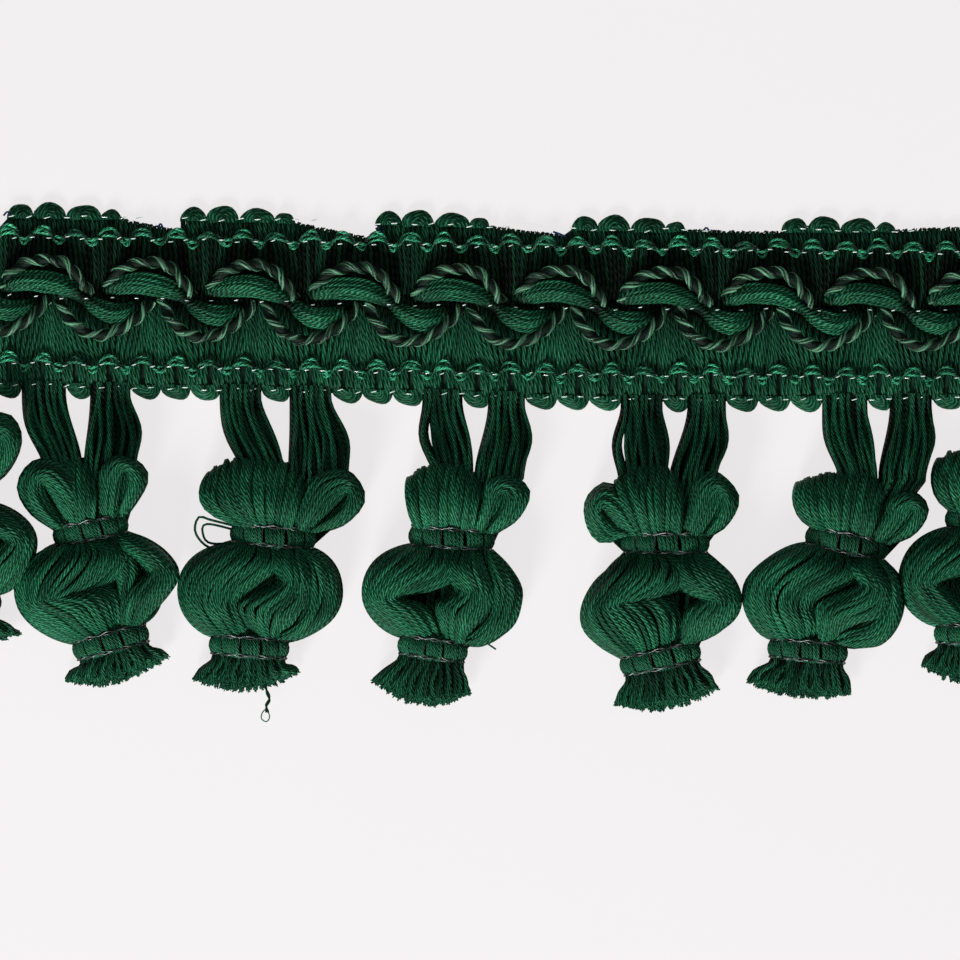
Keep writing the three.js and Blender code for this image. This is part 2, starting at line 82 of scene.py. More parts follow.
TRIM_LONG = 206.0
FRONT_Z = 1.42  # middle of the weft yarns on the face
BACK_Z = 0.45  # and on the back
LOOP_YARN = 0.84
FILAMENT = 0.2
TIE_LONG = 3.3
HEAD_DEEP = 10.0
NECK_DEEP = 6.4
SKIRT_DEEP = 8.4
UPPER_TIE_Z = 5.0
LOWER_TIE_Z = 4.8

SCALLOP = 33.3  # px, one loop of the heading's edge
ARC_PITCH = 103.0  # px, from one arc of the scroll to the next
HUMP = 147.0  # px, the middle of an upper hump
UPPER_CUSP = 105.0  # px, a cusp of the upper rope
LOWER_CUSP = 157.0
CUSHION_WIDE = 11.0  # px, half the cushion bundle's width where it is widest

HALF_LONG = TRIM_LONG / 2 / PX  # px
HALF_TIE = TIE_LONG / 2 / PX  # px
NECK = NECK_DEEP / 2 - 0.5  # from the middle of a tied skein to that of its outer yarns

# What is added to the seed for each kind of yarn

SEEDS = dict(
    weft=0, loops=1, frayed=2, blue=3, cushion=20, rope=30, tassels=100, chains=125, ties=200, tufts=300,
)

# The heading's rows, bowed a little as it lies: the height of each over four places, in px

HEADING_ROWS = {
    "x": [10, 326, 640, 950],
    "top_stitch": [216, 222, 230, 231],
    "upper_chain": [235, 241, 247, 251],
    "centre": [296, 304, 309, 310],
    "lower_chain": [362, 369, 374, 376],
    "low_stitch": [384, 390, 399, 397],
}

# The upper edge: at each step come loops, then a cut edge that falls away to the next step. A row
# is the step's place and the fall below the stitching at its end, in px.

TOP_STEPS = [
    (-380, 10), (-186, 10), (8, 10), (181, 14), (376, 6), (572, 0), (782, -6), (980, 4), (1180, 4),
]
TOP_LOOPS = [0, 25, 58, 94, 112]  # px after the step, where loops begin and end
LOOP_RISE = [11, 13, 11, 7]  # px, how far each stands above the stitching
LOW_LOOP_RISE = 13.5  # px, the lower edge's loops

# The yarns of an edge loop: half width as a share of the loop's, and height

LOOP_YARNS = [(0.86, 0.8), (0.64, 1.1), (0.42, 1.36), (0.2, 1.5)]

# Ends of blue thread that show along the upper edge, in px

BLUE_ENDS = [
    [(4, 216), (8, 212), (11, 216)],
    [(158, 228), (161, 224), (163, 228)],
    [(376, 228), (378, 232), (381, 237)],
    [(378, 226), (381, 230), (383, 234)],
    [(553, 232), (559, 234), (566, 237)],
    [(703, 231), (706, 228), (709, 231)],
]

# Rows of filament stitches: drop below the heading's row, in px, pitch, length and height

STITCH_ROWS = [
    dict(row="low_stitch", drop=1.0, pitch=2.6, stitch=1.1, z=1.95),
    dict(row="top_stitch", drop=0.0, pitch=2.6, stitch=1.2, z=1.95),
    dict(row="upper_chain", drop=2.5, pitch=2.6, stitch=0.9, z=2.75),
    dict(row="lower_chain", drop=1.5, pitch=2.6, stitch=0.9, z=2.75),
    dict(row="centre", drop=0.0, pitch=3.8, stitch=0.75, z=3.2),
]

# Threads of a chain row: how far each arches up and dips down, in px, and its height

CHAIN_THREADS = [
    dict(up=9.4, down=7.4, z=2.0),
    dict(up=6.0, down=4.4, z=2.2),
    dict(up=3.0, down=1.6, z=2.36),
]

# The cushion bundle over one pitch, from the hump's middle on the centre row, in px

CUSHION = [
    dict(at=(-41, -5), wide=0.35, z=1.5),
    dict(at=(-34, -11), wide=0.75, z=2.4),
    dict(at=(-16, -15.5), wide=1.0, z=3.1),
    dict(at=(6, -15), wide=1.05, z=3.2),
    dict(at=(25, -9.5), wide=0.85, z=2.6),
    dict(at=(40, 0), wide=0.5, z=1.8),
    dict(at=(53, 9), wide=0.85, z=2.6),
    dict(at=(68, 14.5), wide=1.05, z=3.1),
    dict(at=(84, 12), wide=0.85, z=2.6),
    dict(at=(98, 5), wide=0.35, z=1.5),
]
CUSHION_LAYERS = [
    dict(yarns=4, reach=0.55, rise=-0.35, size=2.2, tint_and_shade=0.0),
    dict(yarns=6, reach=0.92, rise=0.0, size=1.0, tint_and_shade=0.0),
    dict(yarns=3, reach=0.4, rise=0.22, size=1.0, tint_and_shade=0.25),
]

# One arc of each rope, from the same middle, in px

UPPER_ROPE = [(-40, -8), (-33, -22), (-14, -34), (8, -37), (24, -32), (36, -19), (46, -4)]
LOWER_ROPE = [(16, 0), (23, 18), (38, 32), (56, 37), (76, 31), (94, 18), (107, 2)]
ROPE_LAY = 6.0  # one turn of its twist
ROPE_Z = 1.75  # its middle at the arc's ends, and how much higher it is between them
ROPE_CORE = 1.35
# Filaments of each ply: turn round the ply, how far out, and tint; the dark ones are painted shade between
# the bright ones.
ROPE_FILAMENTS = [
    dict(turn=-0.6, out=0.64, tint_and_shade=-1.0),
    dict(turn=-0.3, out=0.82, tint_and_shade=1.2),
    dict(turn=-0.02, out=0.88, tint_and_shade=-1.1),
    dict(turn=0.24, out=0.88, tint_and_shade=0.9),
    dict(turn=0.55, out=0.72, tint_and_shade=-1.4),
]

# Where a bundle of the onion lies: the height of its top, and its tint, painted shade that grows darker the
# further back the bundle lies

PLACES = {
    "front": dict(top=11.3, tint_and_shade=0.0),
    "under": dict(top=10.5, tint_and_shade=-0.05),
    "behind": dict(top=9.0, tint_and_shade=-0.3),
    "backing": dict(top=6.2, tint_and_shade=-1.3),
}

# The layers of a leg, from the back: yarns, their size as a share of a yarn, tint (painted shade,
# darkest at the back), rise above the surface at the heading and at the head, and sideways sway in px

LEG_LAYERS = [
    dict(yarns=6, size=2.0, tint_and_shade=-1.7, low=0.0, high=0.0, sway=0.0, jitter=0.0),
    dict(yarns=11, size=0.86, tint_and_shade=-0.9, low=0.35, high=1.0, sway=2.2, jitter=0.5),
    dict(yarns=9, size=0.76, tint_and_shade=0.0, low=0.9, high=1.8, sway=3.0, jitter=0.5),
]

# The layers of a skirt, from the front: yarns, how much shorter they are, in px, and their depth
# as a share of the skirt's

SKIRT_LAYERS = [
    dict(yarns=22, short=9.0, depth=0.0),
    dict(yarns=24, short=6.0, depth=0.2),
    dict(yarns=23, short=3.5, depth=0.45),
    dict(yarns=20, short=1.0, depth=0.72),
    dict(yarns=16, short=0.0, depth=0.95),
]

# One row for each tassel, in px. legs: where each leg leaves the heading. slit: a leg that parts,
# at what share of its width and how far. leg_in: the left side, middle and right side of the legs,
# and how low they go, where they enter the head. upper and lower: the ties, as x, y, half width
# and tilt in degrees. fan: the front of the head, from one place on the tie to another, and its
# edge. ears: puffs curled round a hollow, from one place on the tie to another, with their rim,
# the hollow's x, y and radius, and split, where on the tie the hollow's yarns start. folds: bundles
# of the onion, with their places on both ties from outer to inner yarn, and the outermost and
# innermost yarn. skirt: its left tip, right tip and lowest point. loose: yarns that slipped out.

TASSELS = [
    dict(
        legs=[(-180, -138), (-110, -70)], leg_in=(-112, -72, -20, 430),
        upper=(-50, 490, 44, 4), lower=(-36, 600, 40, 4),
        fan=dict(tie=(-0.95, 0.4), edge=[(-96, 478), (-132, 455), (-115, 425), (-62, 414), (-25, 425)]),
        ears=[
            dict(
                tie=(0.4, 1.0), hollow=(2, 443, 5),
                rim=[(-18, 440), (-8, 418), (10, 418), (20, 440), (8, 468)],
            ),
        ],
        folds=[
            dict(
                place="under", top=(-1, 0.1), low=(-1, 0.1), outer=[(-122, 545)],
                inner=[(-42, 518), (-52, 534), (-60, 545), (-52, 562)],
            ),
            dict(
                top=(1, 0.05), low=(1, 0.05), outer=[(36, 540)],
                inner=[(-36, 520), (-12, 530), (6, 540), (-8, 552), (-30, 566)],
            ),
        ],
        skirt=[(-92, 636), (24, 634), (-30, 647)],
    ),
    dict(
        legs=[(22, 67), (91, 131)], leg_in=(44, 84, 139, 462),
        upper=(92, 530, 39, -11), lower=(112, 641, 40, -15),
        fan=dict(tie=(-0.5, 0.15), edge=[(58, 462), (72, 458), (88, 464), (97, 482)]),
        ears=[
            dict(
                tie=(-0.95, 0.1), hollow=(47, 488, 5), split=0.35,
                rim=[(32, 510), (21, 486), (36, 464), (62, 464), (86, 490)],
            ),
            dict(
                tie=(0.3, 0.97), hollow=(128, 474, 5), split=0.7,
                rim=[(100, 494), (104, 468), (122, 457), (146, 474), (134, 502)],
            ),
        ],
        folds=[
            dict(
                top=(-1, 0.4), low=(-1, 0.42), outer=[(18, 588)],
                inner=[(134, 550), (130, 568), (110, 584), (80, 592), (98, 587), (117, 588), (124, 606)],
            ),
            dict(
                place="behind", top=(0.3, 0.8), low=(0.3, 0.7),
                outer=[(108, 560), (112, 575), (120, 592)], inner=[(138, 556), (142, 572), (132, 592)],
            ),
            dict(
                top=(1, 0.66), low=(1, 0.42),
                outer=[(150, 542), (168, 555), (178, 573), (170, 591), (157, 606)],
                inner=[(124, 549), (138, 559), (149, 573), (138, 584), (127, 596), (122, 613)],
            ),
        ],
        skirt=[(63, 682), (171, 657), (85, 692)],
    ),
    dict(
        legs=[(220, 262), (290, 332)], leg_in=(243, 287, 350, 472),
        upper=(274, 536, 44, 5), lower=(250, 646, 41, 4),
        fan=dict(
            tie=(-0.95, 0.42),
            edge=[(214, 526), (201, 504), (204, 480), (222, 464), (250, 459), (288, 465), (308, 483)],
        ),
        ears=[
            dict(
                tie=(0.4, 1.0), hollow=(348, 496, 5),
                rim=[(304, 496), (318, 475), (345, 472), (362, 497), (346, 520)],
            ),
        ],
        folds=[
            dict(
                place="under", top=(-1, 0.08), low=(-1, 0.12), outer=[(180, 588)],
                inner=[(288, 558), (282, 572), (267, 583), (250, 594), (243, 604), (249, 619)],
            ),
            dict(
                top=(0.8, 0.12), low=(0.8, 0.18),
                outer=[(313, 574), (312, 597), (298, 617), (284, 630)],
                inner=[(274, 561), (278, 577), (276, 588), (258, 594), (241, 599), (234, 606), (240, 618)],
            ),
            dict(place="behind", top=(1, 0.6), low=(1, 0.6), outer=[(342, 593)], inner=[(304, 592)]),
        ],
        skirt=[(190, 679), (302, 672), (232, 693)],
        loose=[
            dict(
                z=5.5, thick=0.42, tint_and_shade=0.0,
                line=[(244, 528), (212, 520), (200, 517), (196, 530), (203, 542), (215, 548), (242, 546)],
            ),
            dict(
                z=5.0, thick=0.4, tint_and_shade=-0.3,
                line=[(244, 532), (208, 524), (204, 534), (212, 543), (242, 542)],
            ),
            dict(
                z=4.2, thick=0.32, tint_and_shade=-1.1, sides=[-1, 1],
                line=[(258, 668), (265, 684), (268, 692), (270, 699), (267, 705), (268, 712)],
            ),
            dict(
                z=3.6, thick=0.2, tint_and_shade=1.6,
                line=[(268, 707), (263, 712), (262, 718), (267, 721), (270, 716), (267, 708)],
            ),
        ],
    ),
    dict(
        legs=[(423, 463), (489, 525)], slit=(0, 0.15, 6), leg_in=(433, 474, 524, 472),
        upper=(452, 538, 44, 4), lower=(433, 648, 36, 8),
        fan=dict(
            tie=(-0.95, 0.5),
            edge=[(412, 520), (405, 498), (408, 480), (426, 467), (447, 464), (468, 468), (481, 482)],
        ),
        ears=[
            dict(
                tie=(0.45, 1.0), hollow=(500, 496, 4), split=0.55,
                rim=[(484, 502), (490, 482), (508, 477), (527, 492), (517, 516)],
            ),
        ],
        folds=[
            dict(
                place="under", top=(-1, 0.1), low=(-1, 0.3), outer=[(365, 590)],
                inner=[
                    (464, 564), (455, 581), (434, 589), (411, 593),
                    (405, 597), (411, 601), (428, 606), (440, 622),
                ],
            ),
            dict(
                top=(0.75, 0.05), low=(0.98, 0.3),
                outer=[(488, 567), (495, 592), (488, 612), (472, 628)],
                inner=[(444, 566), (449, 579), (453, 589), (447, 597), (438, 602), (434, 608), (437, 618)],
            ),
            dict(
                place="behind", top=(1, 0.85), low=(1, 0.95),
                outer=[(506, 566), (520, 586), (521, 602), (512, 626), (486, 643)],
                inner=[(482, 572), (486, 597), (478, 621)],
            ),
        ],
        skirt=[(370, 681), (472, 694), (415, 706)],
        loose=[dict(z=3.0, thick=0.3, tint_and_shade=0.0, line=[(474, 632), (486, 642), (496, 649)])],
    ),
    dict(
        legs=[(621, 663), (688, 726)], slit=(0, 0.17, 5), leg_in=(618, 668, 716, 478),
        upper=(665, 543, 45, 0), lower=(660, 658, 42, -12),
        fan=dict(tie=(-0.72, 0.32), edge=[(612, 496), (620, 480), (640, 468), (664, 467), (683, 484)]),
        ears=[
            dict(
                tie=(-1.0, -0.55), hollow=(604, 514, 4), split=0.35,
                rim=[(600, 540), (588, 520), (590, 498), (606, 485), (624, 500)],
            ),
            dict(
                tie=(0.32, 1.0), hollow=(722, 499, 5),
                rim=[(688, 504), (694, 481), (712, 473), (735, 496), (724, 522)],
            ),
        ],
        folds=[
            dict(
                top=(-1, 0.25), low=(-1, 0.36),
                outer=[(612, 567), (595, 585), (584, 607), (584, 627), (599, 643)],
                inner=[
                    (692, 564), (689, 582), (670, 592), (650, 596),
                    (664, 596), (675, 604), (680, 618), (677, 638),
                ],
            ),
            dict(
                top=(1, 0.15), low=(1, 0.42),
                outer=[(717, 563), (732, 578), (739, 597), (733, 616), (715, 632)],
                inner=[(666, 568), (674, 584), (692, 594), (698, 599), (686, 611), (681, 624), (679, 638)],
            ),
        ],
        skirt=[(613, 705), (720, 688), (635, 716)],
    ),
    dict(
        legs=[(822, 868), (890, 932)], leg_in=(838, 877, 926, 474),
        upper=(846, 543, 43, 12), lower=(807, 650, 41, 5),
        fan=dict(
            tie=(-0.95, 0.5),
            edge=[(808, 526), (791, 503), (800, 482), (822, 474), (850, 472), (872, 475), (884, 492)],
        ),
        ears=[
            dict(
                tie=(0.48, 1.0), hollow=(909, 511, 4),
                rim=[(882, 516), (890, 499), (908, 493), (924, 508), (911, 531)],
            ),
        ],
        folds=[
            dict(
                place="under", top=(-1, 0.2), low=(-1, 0.2), outer=[(744, 592)],
                inner=[(862, 566), (856, 580), (836, 589), (820, 596), (814, 608), (820, 624)],
            ),
            dict(
                top=(0.85, 0.2), low=(0.6, 0.2),
                outer=[(880, 570), (890, 585), (890, 602), (878, 616), (848, 625)],
                inner=[(844, 568), (853, 577), (855, 586), (844, 591), (828, 596), (814, 605), (813, 622)],
            ),
            dict(
                place="behind", top=(1, 0.9), low=(1, 0.6),
                outer=[(896, 578), (901, 610), (884, 642), (856, 646)],
                inner=[(880, 598), (868, 618), (842, 628)],
            ),
        ],
        skirt=[(744, 682), (852, 694), (822, 702)],
    ),
    dict(
        legs=[(1022, 1066), (1092, 1132)], leg_in=(966, 1004, 1056, 462),
        upper=(985, 520, 42, 2), lower=(972, 634, 40, 2),
        fan=dict(
            tie=(-0.95, 0.6),
            edge=[(946, 508), (931, 488), (934, 466), (952, 452), (986, 448), (1020, 453), (1038, 470)],
        ),
        ears=[
            dict(
                tie=(0.55, 1.0), hollow=(1056, 486, 5),
                rim=[(1034, 492), (1044, 472), (1062, 468), (1080, 482), (1064, 506)],
            ),
        ],
        folds=[
            dict(
                place="under", top=(-1, 0.1), low=(-1, 0.1), outer=[(900, 580)],
                inner=[(998, 550), (984, 566), (952, 576), (940, 582), (948, 590), (966, 608)],
            ),
            dict(
                top=(1, 0.05), low=(1, 0.05), outer=[(1058, 583)],
                inner=[(978, 554), (984, 570), (990, 584), (984, 593), (972, 600), (968, 614)],
            ),
        ],
        skirt=[(917, 664), (1030, 666), (972, 686)],
    ),
]


# Sizes and colours that a user would change


class TrimYarns(PropertyGroup):
    """Thickness of the trim's yarns and threads, and how they are made."""

    yarn: FloatProperty(
        name="Yarn", description="Thickness of a tassel's yarn",
        default=0.86 * MM, unit="LENGTH",
    )
    weft: FloatProperty(
        name="Weft", description="Thickness of a weft yarn",
        default=0.74 * MM, unit="LENGTH",
    )
    strand: FloatProperty(
        name="Rope strand", description="Thickness of the rope's strands",
        default=0.37 * MM, unit="LENGTH",
    )
    cushion: FloatProperty(
        name="Cushion yarn", description="Thickness of the bundle's yarns",
        default=0.70 * MM, unit="LENGTH",
    )
    thread: FloatProperty(
        name="Chain thread", description="Thickness of the chain's thread",
        default=0.46 * MM, unit="LENGTH",
    )
    sides: IntProperty(name="Sides", description="Sides of an edge loop's tube", default=6, min=3, max=12)
    seed: IntProperty(name="Seed", description="Seed of the yarns' irregular lay", default=7, min=0)


class TrimColours(PropertyGroup):
    """Colours of the trim, as a lit yarn shows them."""

    yarn: FloatVectorProperty(
        name="Tassel yarn", description="Colour of the tassels",
        subtype="COLOR", size=3, default=(0.0040, 0.084, 0.036),
    )
    weft: FloatVectorProperty(
        name="Weft", description="Colour of the heading",
        subtype="COLOR", size=3, default=(0.0028, 0.074, 0.031),
    )
    cushion: FloatVectorProperty(
        name="Cushion", description="Colour of the cushion bundle",
        subtype="COLOR", size=3, default=(0.0028, 0.062, 0.026),
    )
    chain: FloatVectorProperty(
        name="Chain", description="Colour of the chain thread",
        subtype="COLOR", size=3, default=(0.012, 0.20, 0.092),
    )
    rope: FloatVectorProperty(
        name="Rope", description="Colour of the rope's bright strands",
        subtype="COLOR", size=3, default=(0.045, 0.125, 0.07),
    )
    floor: FloatVectorProperty(
        name="Floor", description="Colour of the floor",
        subtype="COLOR", size=3, default=(0.905, 0.88, 0.888),
    )


# Places and lines


def mm(places):
    """Pixel places with a height in millimetres, as millimetres of the frame."""
    places = np.asarray(places, float)
    return np.column_stack([(places[:, 0] - MIDDLE_X) * PX, (MIDDLE_Y - places[:, 1]) * PX, places[:, 2]])


def lift(line, z):
    """A line of pixels with its heights."""
    line = np.asarray(line, float)
    return np.column_stack([line, np.broadcast_to(z, len(line))])


def row(name, x):
    """The height in the photo of one of the heading's rows, over pixel x."""
    return np.interp(x, HEADING_ROWS["x"], HEADING_ROWS[name])


def top_edge(x):
    """The heading's upper edge over pixel x, and whether loops stand on it there."""
    starts = [start for start, _ in TOP_STEPS]
    k = max(i for i, start in enumerate(starts) if start <= x)
    step, drop = TOP_STEPS[k]
    run = x - step
    stitching = row("top_stitch", x)
    for begin, end, rise in zip(TOP_LOOPS, TOP_LOOPS[1:], LOOP_RISE):
        if begin <= run < end:
            u = (run - begin) / (end - begin)
            return stitching - rise * math.sqrt(max(0.0, 1 - (2 * u - 1) ** 2)), True
    fall = (run - TOP_LOOPS[-1]) / (starts[k + 1] - step - TOP_LOOPS[-1])
    return stitching - 2 + (drop + 2) * fall**0.8, False


def on_tie(tie, f, drop=0.0):
    """A place on a tie, from -1 at its left end to 1 at its right, and drop along the skein."""
    x, y, half, tilt = tie
    c, s = math.cos(math.radians(tilt)), math.sin(math.radians(tilt))
    return np.array([x + half * f * c - drop * s, y + half * f * s + drop * c])


def below(tie, line, turned=1):
    """How far a line of places is from a tie along the skein, in px: down, or up if turned."""
    x, y, _, tilt = tie
    c, s = math.cos(math.radians(tilt)), math.sin(math.radians(tilt))
    return turned * ((line[:, 1] - y) * c - (line[:, 0] - x) * s)


def run_along(line):
    """The distance from the start of a line to each of its points."""
    return np.concatenate([[0], np.cumsum(np.linalg.norm(np.diff(line, axis=0), axis=1))])


def through(points, count):
    """A smooth line through points, evenly spaced."""
    points = np.asarray(points, float)
    pad = np.vstack([2 * points[0] - points[1], points, 2 * points[-1] - points[-2]])
    fine = []
    u = np.linspace(0, 1, 16, endpoint=False)[:, None]
    for a, b, c, d in zip(pad, pad[1:], pad[2:], pad[3:]):
        bent = (2 * a - 5 * b + 4 * c - d) * u**2 + (3 * b - a - 3 * c + d) * u**3
        fine.append(0.5 * (2 * b + (c - a) * u + bent))
    fine = np.vstack(fine + [points[-1:]])
    along = run_along(fine)
    wanted = np.linspace(0, along[-1], count)
    return np.column_stack([np.interp(wanted, along, fine[:, i]) for i in range(fine.shape[1])])


def beside(path, side):
    """A path in the plane moved sideways by side, one value for each point."""
    step = np.gradient(path[:, :2], axis=0)
    step /= np.linalg.norm(step, axis=1)[:, None]
    return path[:, :2] + np.column_stack([-step[:, 1], step[:, 0]]) * side[:, None]


def fold_line(start, out, end, count):
    """A yarn that leaves a tie sideways, reaches its widest point and comes back."""
    quarter = np.linspace(0, math.pi / 2, 10)
    wide, deep = np.sin(quarter), np.cos(quarter)
    there = [start[0] + (out[0] - start[0]) * wide**1.25, out[1] + (start[1] - out[1]) * deep]
    back = [end[0] + (out[0] - end[0]) * deep**1.15, out[1] + (end[1] - out[1]) * wide]
    return through(np.vstack([np.column_stack(there), np.column_stack(back)[1:]]), count)


def oval_turns(wide, deep, spacing):
    """Angles round an ellipse of these half sizes, evenly spaced along its rim."""
    turn = np.linspace(0, 2 * math.pi, 400)
    steps = np.hypot(wide * np.sin(turn[1:]), deep * np.cos(turn[1:])) * (turn[1] - turn[0])
    along = np.concatenate([[0], np.cumsum(steps)])
    count = max(8, int(along[-1] / spacing))
    return np.interp((np.arange(count) + 0.5) / count * along[-1], along, turn)


# Node trees


class Nodes:
    """A tree's nodes, added one after the other."""

    def __init__(self, tree):
        self.tree = tree

    def put(self, kind, **given):
        """A node. A name that starts with set_ is a property, any other an input, n0 by number.

        An input takes a value, a socket or a node, which stands for its first output."""
        node = self.tree.nodes.new(kind)
        for name, value in given.items():
            if name.startswith("set_"):
                setattr(node, name[4:], value)
        for name, value in given.items():
            if name.startswith("set_"):
                continue
            numbered = name[0] == "n" and name[1:].isdigit()
            socket = node.inputs[int(name[1:]) if numbered else name.replace("_", " ")]
            if isinstance(value, bpy.types.Node):
                value = next(output for output in value.outputs if output.enabled)
            if isinstance(value, bpy.types.NodeSocket):
                self.tree.links.new(value, socket)
            else:
                socket.default_value = value
        return node

    def finish(self, geometry, material):
        """Smooth, realize and dress what was made, and end the tree there."""
        smooth = self.put("GeometryNodeSetShadeSmooth", Geometry=geometry)
        real = self.put("GeometryNodeRealizeInstances", Geometry=smooth)
        dressed = self.put("GeometryNodeSetMaterial", Geometry=real, Material=material)
        self.put("NodeGroupOutput", Pieces=dressed)
        return self.tree


def new_tree(name, *inputs):
    """A geometry tree with named inputs, each of a kind and with a default, and their sockets."""
    tree = bpy.data.node_groups.new(name, "GeometryNodeTree")
    for label, kind, value in inputs:
        socket = tree.interface.new_socket(label, in_out="INPUT", socket_type="NodeSocket" + kind)
        if value is not None:
            socket.default_value = value
        if kind == "Float":
            socket.subtype = "DISTANCE"
    tree.interface.new_socket("Pieces", in_out="OUTPUT", socket_type="NodeSocketGeometry")
    nodes = Nodes(tree)
    return nodes, nodes.put("NodeGroupInput").outputs


def strand_tree():
    """Round strands along every line of a mesh, with their length and turn stored for the ply."""
    if "strands" in bpy.data.node_groups:
        return bpy.data.node_groups["strands"]
    nodes, given = new_tree(
        "strands", ("Lines", "Geometry", None), ("Sides", "Int", 6), ("Material", "Material", None)
    )
    curve = nodes.put("GeometryNodeMeshToCurve", Mesh=given["Lines"])
    length = nodes.put("GeometryNodeSplineParameter").outputs["Length"]
    along = nodes.put("GeometryNodeStoreNamedAttribute", Geometry=curve, Name="along", Value=length)
    circle = nodes.put("GeometryNodeCurvePrimitiveCircle", Resolution=given["Sides"], Radius=1.0)
    turn = nodes.put(
        "GeometryNodeStoreNamedAttribute", set_data_type="FLOAT_VECTOR",
        Geometry=circle, Name="turn", Value=nodes.put("GeometryNodeInputPosition"),
    )
    thick = nodes.put("GeometryNodeInputNamedAttribute", Name="thick")
    tube = nodes.put(
        "GeometryNodeCurveToMesh", Curve=along, Profile_Curve=turn, Scale=thick, Fill_Caps=True,
    )
    return nodes.finish(tube, given["Material"])


def stitch_tree():
    """Short stitches of filament laid at a pitch along a line of points, a little astray."""
    nodes, given = new_tree(
        "stitches", ("Row", "Geometry", None), ("Pitch", "Float", 2.6 * MM), ("Stitch", "Float", 1.2 * MM),
        ("Thickness", "Float", FILAMENT * MM), ("Stray", "Float", 0.25 * MM), ("Seed", "Int", 3),
        ("Material", "Material", None),
    )
    curve = nodes.put("GeometryNodeMeshToCurve", Mesh=given["Row"])
    spaced = nodes.put("GeometryNodeCurveToPoints", set_mode="LENGTH", Curve=curve, Length=given["Pitch"])
    reach = nodes.put("ShaderNodeCombineXYZ", X=given["Stray"], Y=given["Stray"])
    back = nodes.put("ShaderNodeVectorMath", set_operation="SCALE", Vector=reach, Scale=-1.0)
    stray = nodes.put(
        "FunctionNodeRandomValue", set_data_type="FLOAT_VECTOR", Min=back, Max=reach, Seed=given["Seed"]
    )
    moved = nodes.put("GeometryNodeSetPosition", Geometry=spaced, Offset=stray)
    half = nodes.put("ShaderNodeMath", set_operation="MULTIPLY", n0=given["Stitch"], n1=0.5)
    thin = nodes.put("ShaderNodeMath", set_operation="MULTIPLY", n0=given["Thickness"], n1=0.5)
    bead = nodes.put("GeometryNodeMeshUVSphere", Segments=6, Rings=4, Radius=1.0)
    size = nodes.put("ShaderNodeCombineXYZ", X=half, Y=thin, Z=thin)
    shaped = nodes.put("GeometryNodeTransform", Geometry=bead, Scale=size)
    angle = nodes.put(
        "FunctionNodeRandomValue", set_data_type="FLOAT", Min=-0.1, Max=0.42, Seed=given["Seed"]
    )
    spin = nodes.put("ShaderNodeCombineXYZ", Z=angle)
    laid = nodes.put("GeometryNodeInstanceOnPoints", Points=moved, Instance=shaped, Rotation=spin)
    return nodes.finish(laid, given["Material"])


def finished(name, data, tree, **inputs):
    """The mesh that a tree makes of data, as a plain object at the origin."""
    rough = bpy.data.objects.new(name + "_lines", data)
    bpy.context.scene.collection.objects.link(rough)
    nodes = rough.modifiers.new("nodes", "NODES")
    nodes.node_group = tree
    for item in tree.interface.items_tree:
        if item.in_out == "INPUT" and item.name in inputs:
            nodes[item.identifier] = inputs[item.name]
    bpy.context.view_layer.update()
    mesh = bpy.data.meshes.new_from_object(rough.evaluated_get(bpy.context.evaluated_depsgraph_get()))
    mesh.name = name
    bpy.data.objects.remove(rough)
    bpy.data.meshes.remove(data)
    piece = bpy.data.objects.new(name, mesh)
    bpy.context.scene.collection.objects.link(piece)
    return piece


def settle(piece, slot, *nodes):
    """The finished piece rides with the trim, and the parts it stands for are hidden. slot is not used."""
    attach(piece, "root")
    if nodes:
        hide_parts(*nodes)
    return piece


# Strands


class Skein:
    """The strands of one piece, each a line in millimetres with its thickness and its tint, a value that
    carries the strand's own tone and also painted shade.
    """

    def __init__(self, seed=0):
        self.chance = random.Random(seed)
        self.points, self.edges = [], []
        self.values = {"thick": [], "tint_and_shade": [], "lay": []}
        self.count = 0

    def add(self, line, thick, tint_and_shade=0.0):
        """One strand. thick, its diameter, and tint, its tone with any painted shade, are one value or one
        for each point.
        """
        size = len(line)
        self.points.append(np.asarray(line, float))
        given = {"thick": np.asarray(thick, float) / 2 * MM, "tint_and_shade": tint_and_shade, "lay": self.chance.random()}
        for name, value in given.items():
            self.values[name].append(np.broadcast_to(np.asarray(value, float), size))
        start = np.arange(self.count, self.count + size - 1)
        self.edges.append(np.column_stack([start, start + 1]))
        self.count += size

    def spread(self, amount):
        """A chance value on both sides of zero."""
        return self.chance.uniform(-amount, amount)

    def mesh(self, name):
        """The strands as bare edges, in metres."""
        data = bpy.data.meshes.new(name)
        data.vertices.add(self.count)
        data.vertices.foreach_set("co", (np.vstack(self.points) * MM).ravel())
        edges = np.vstack(self.edges)
        data.edges.add(len(edges))
        data.edges.foreach_set("vertices", edges.astype(np.int32).ravel())
        for label, values in self.values.items():
            data.attributes.new(label, "FLOAT", "POINT").data.foreach_set("value", np.concatenate(values))
        data.update()
        return data

    def strands(self, name, material, sides):
        """The piece of this name: every line as a round strand."""
        return finished(name, self.mesh(name + "_edges"), strand_tree(), Sides=sides, Material=material)


# Materials


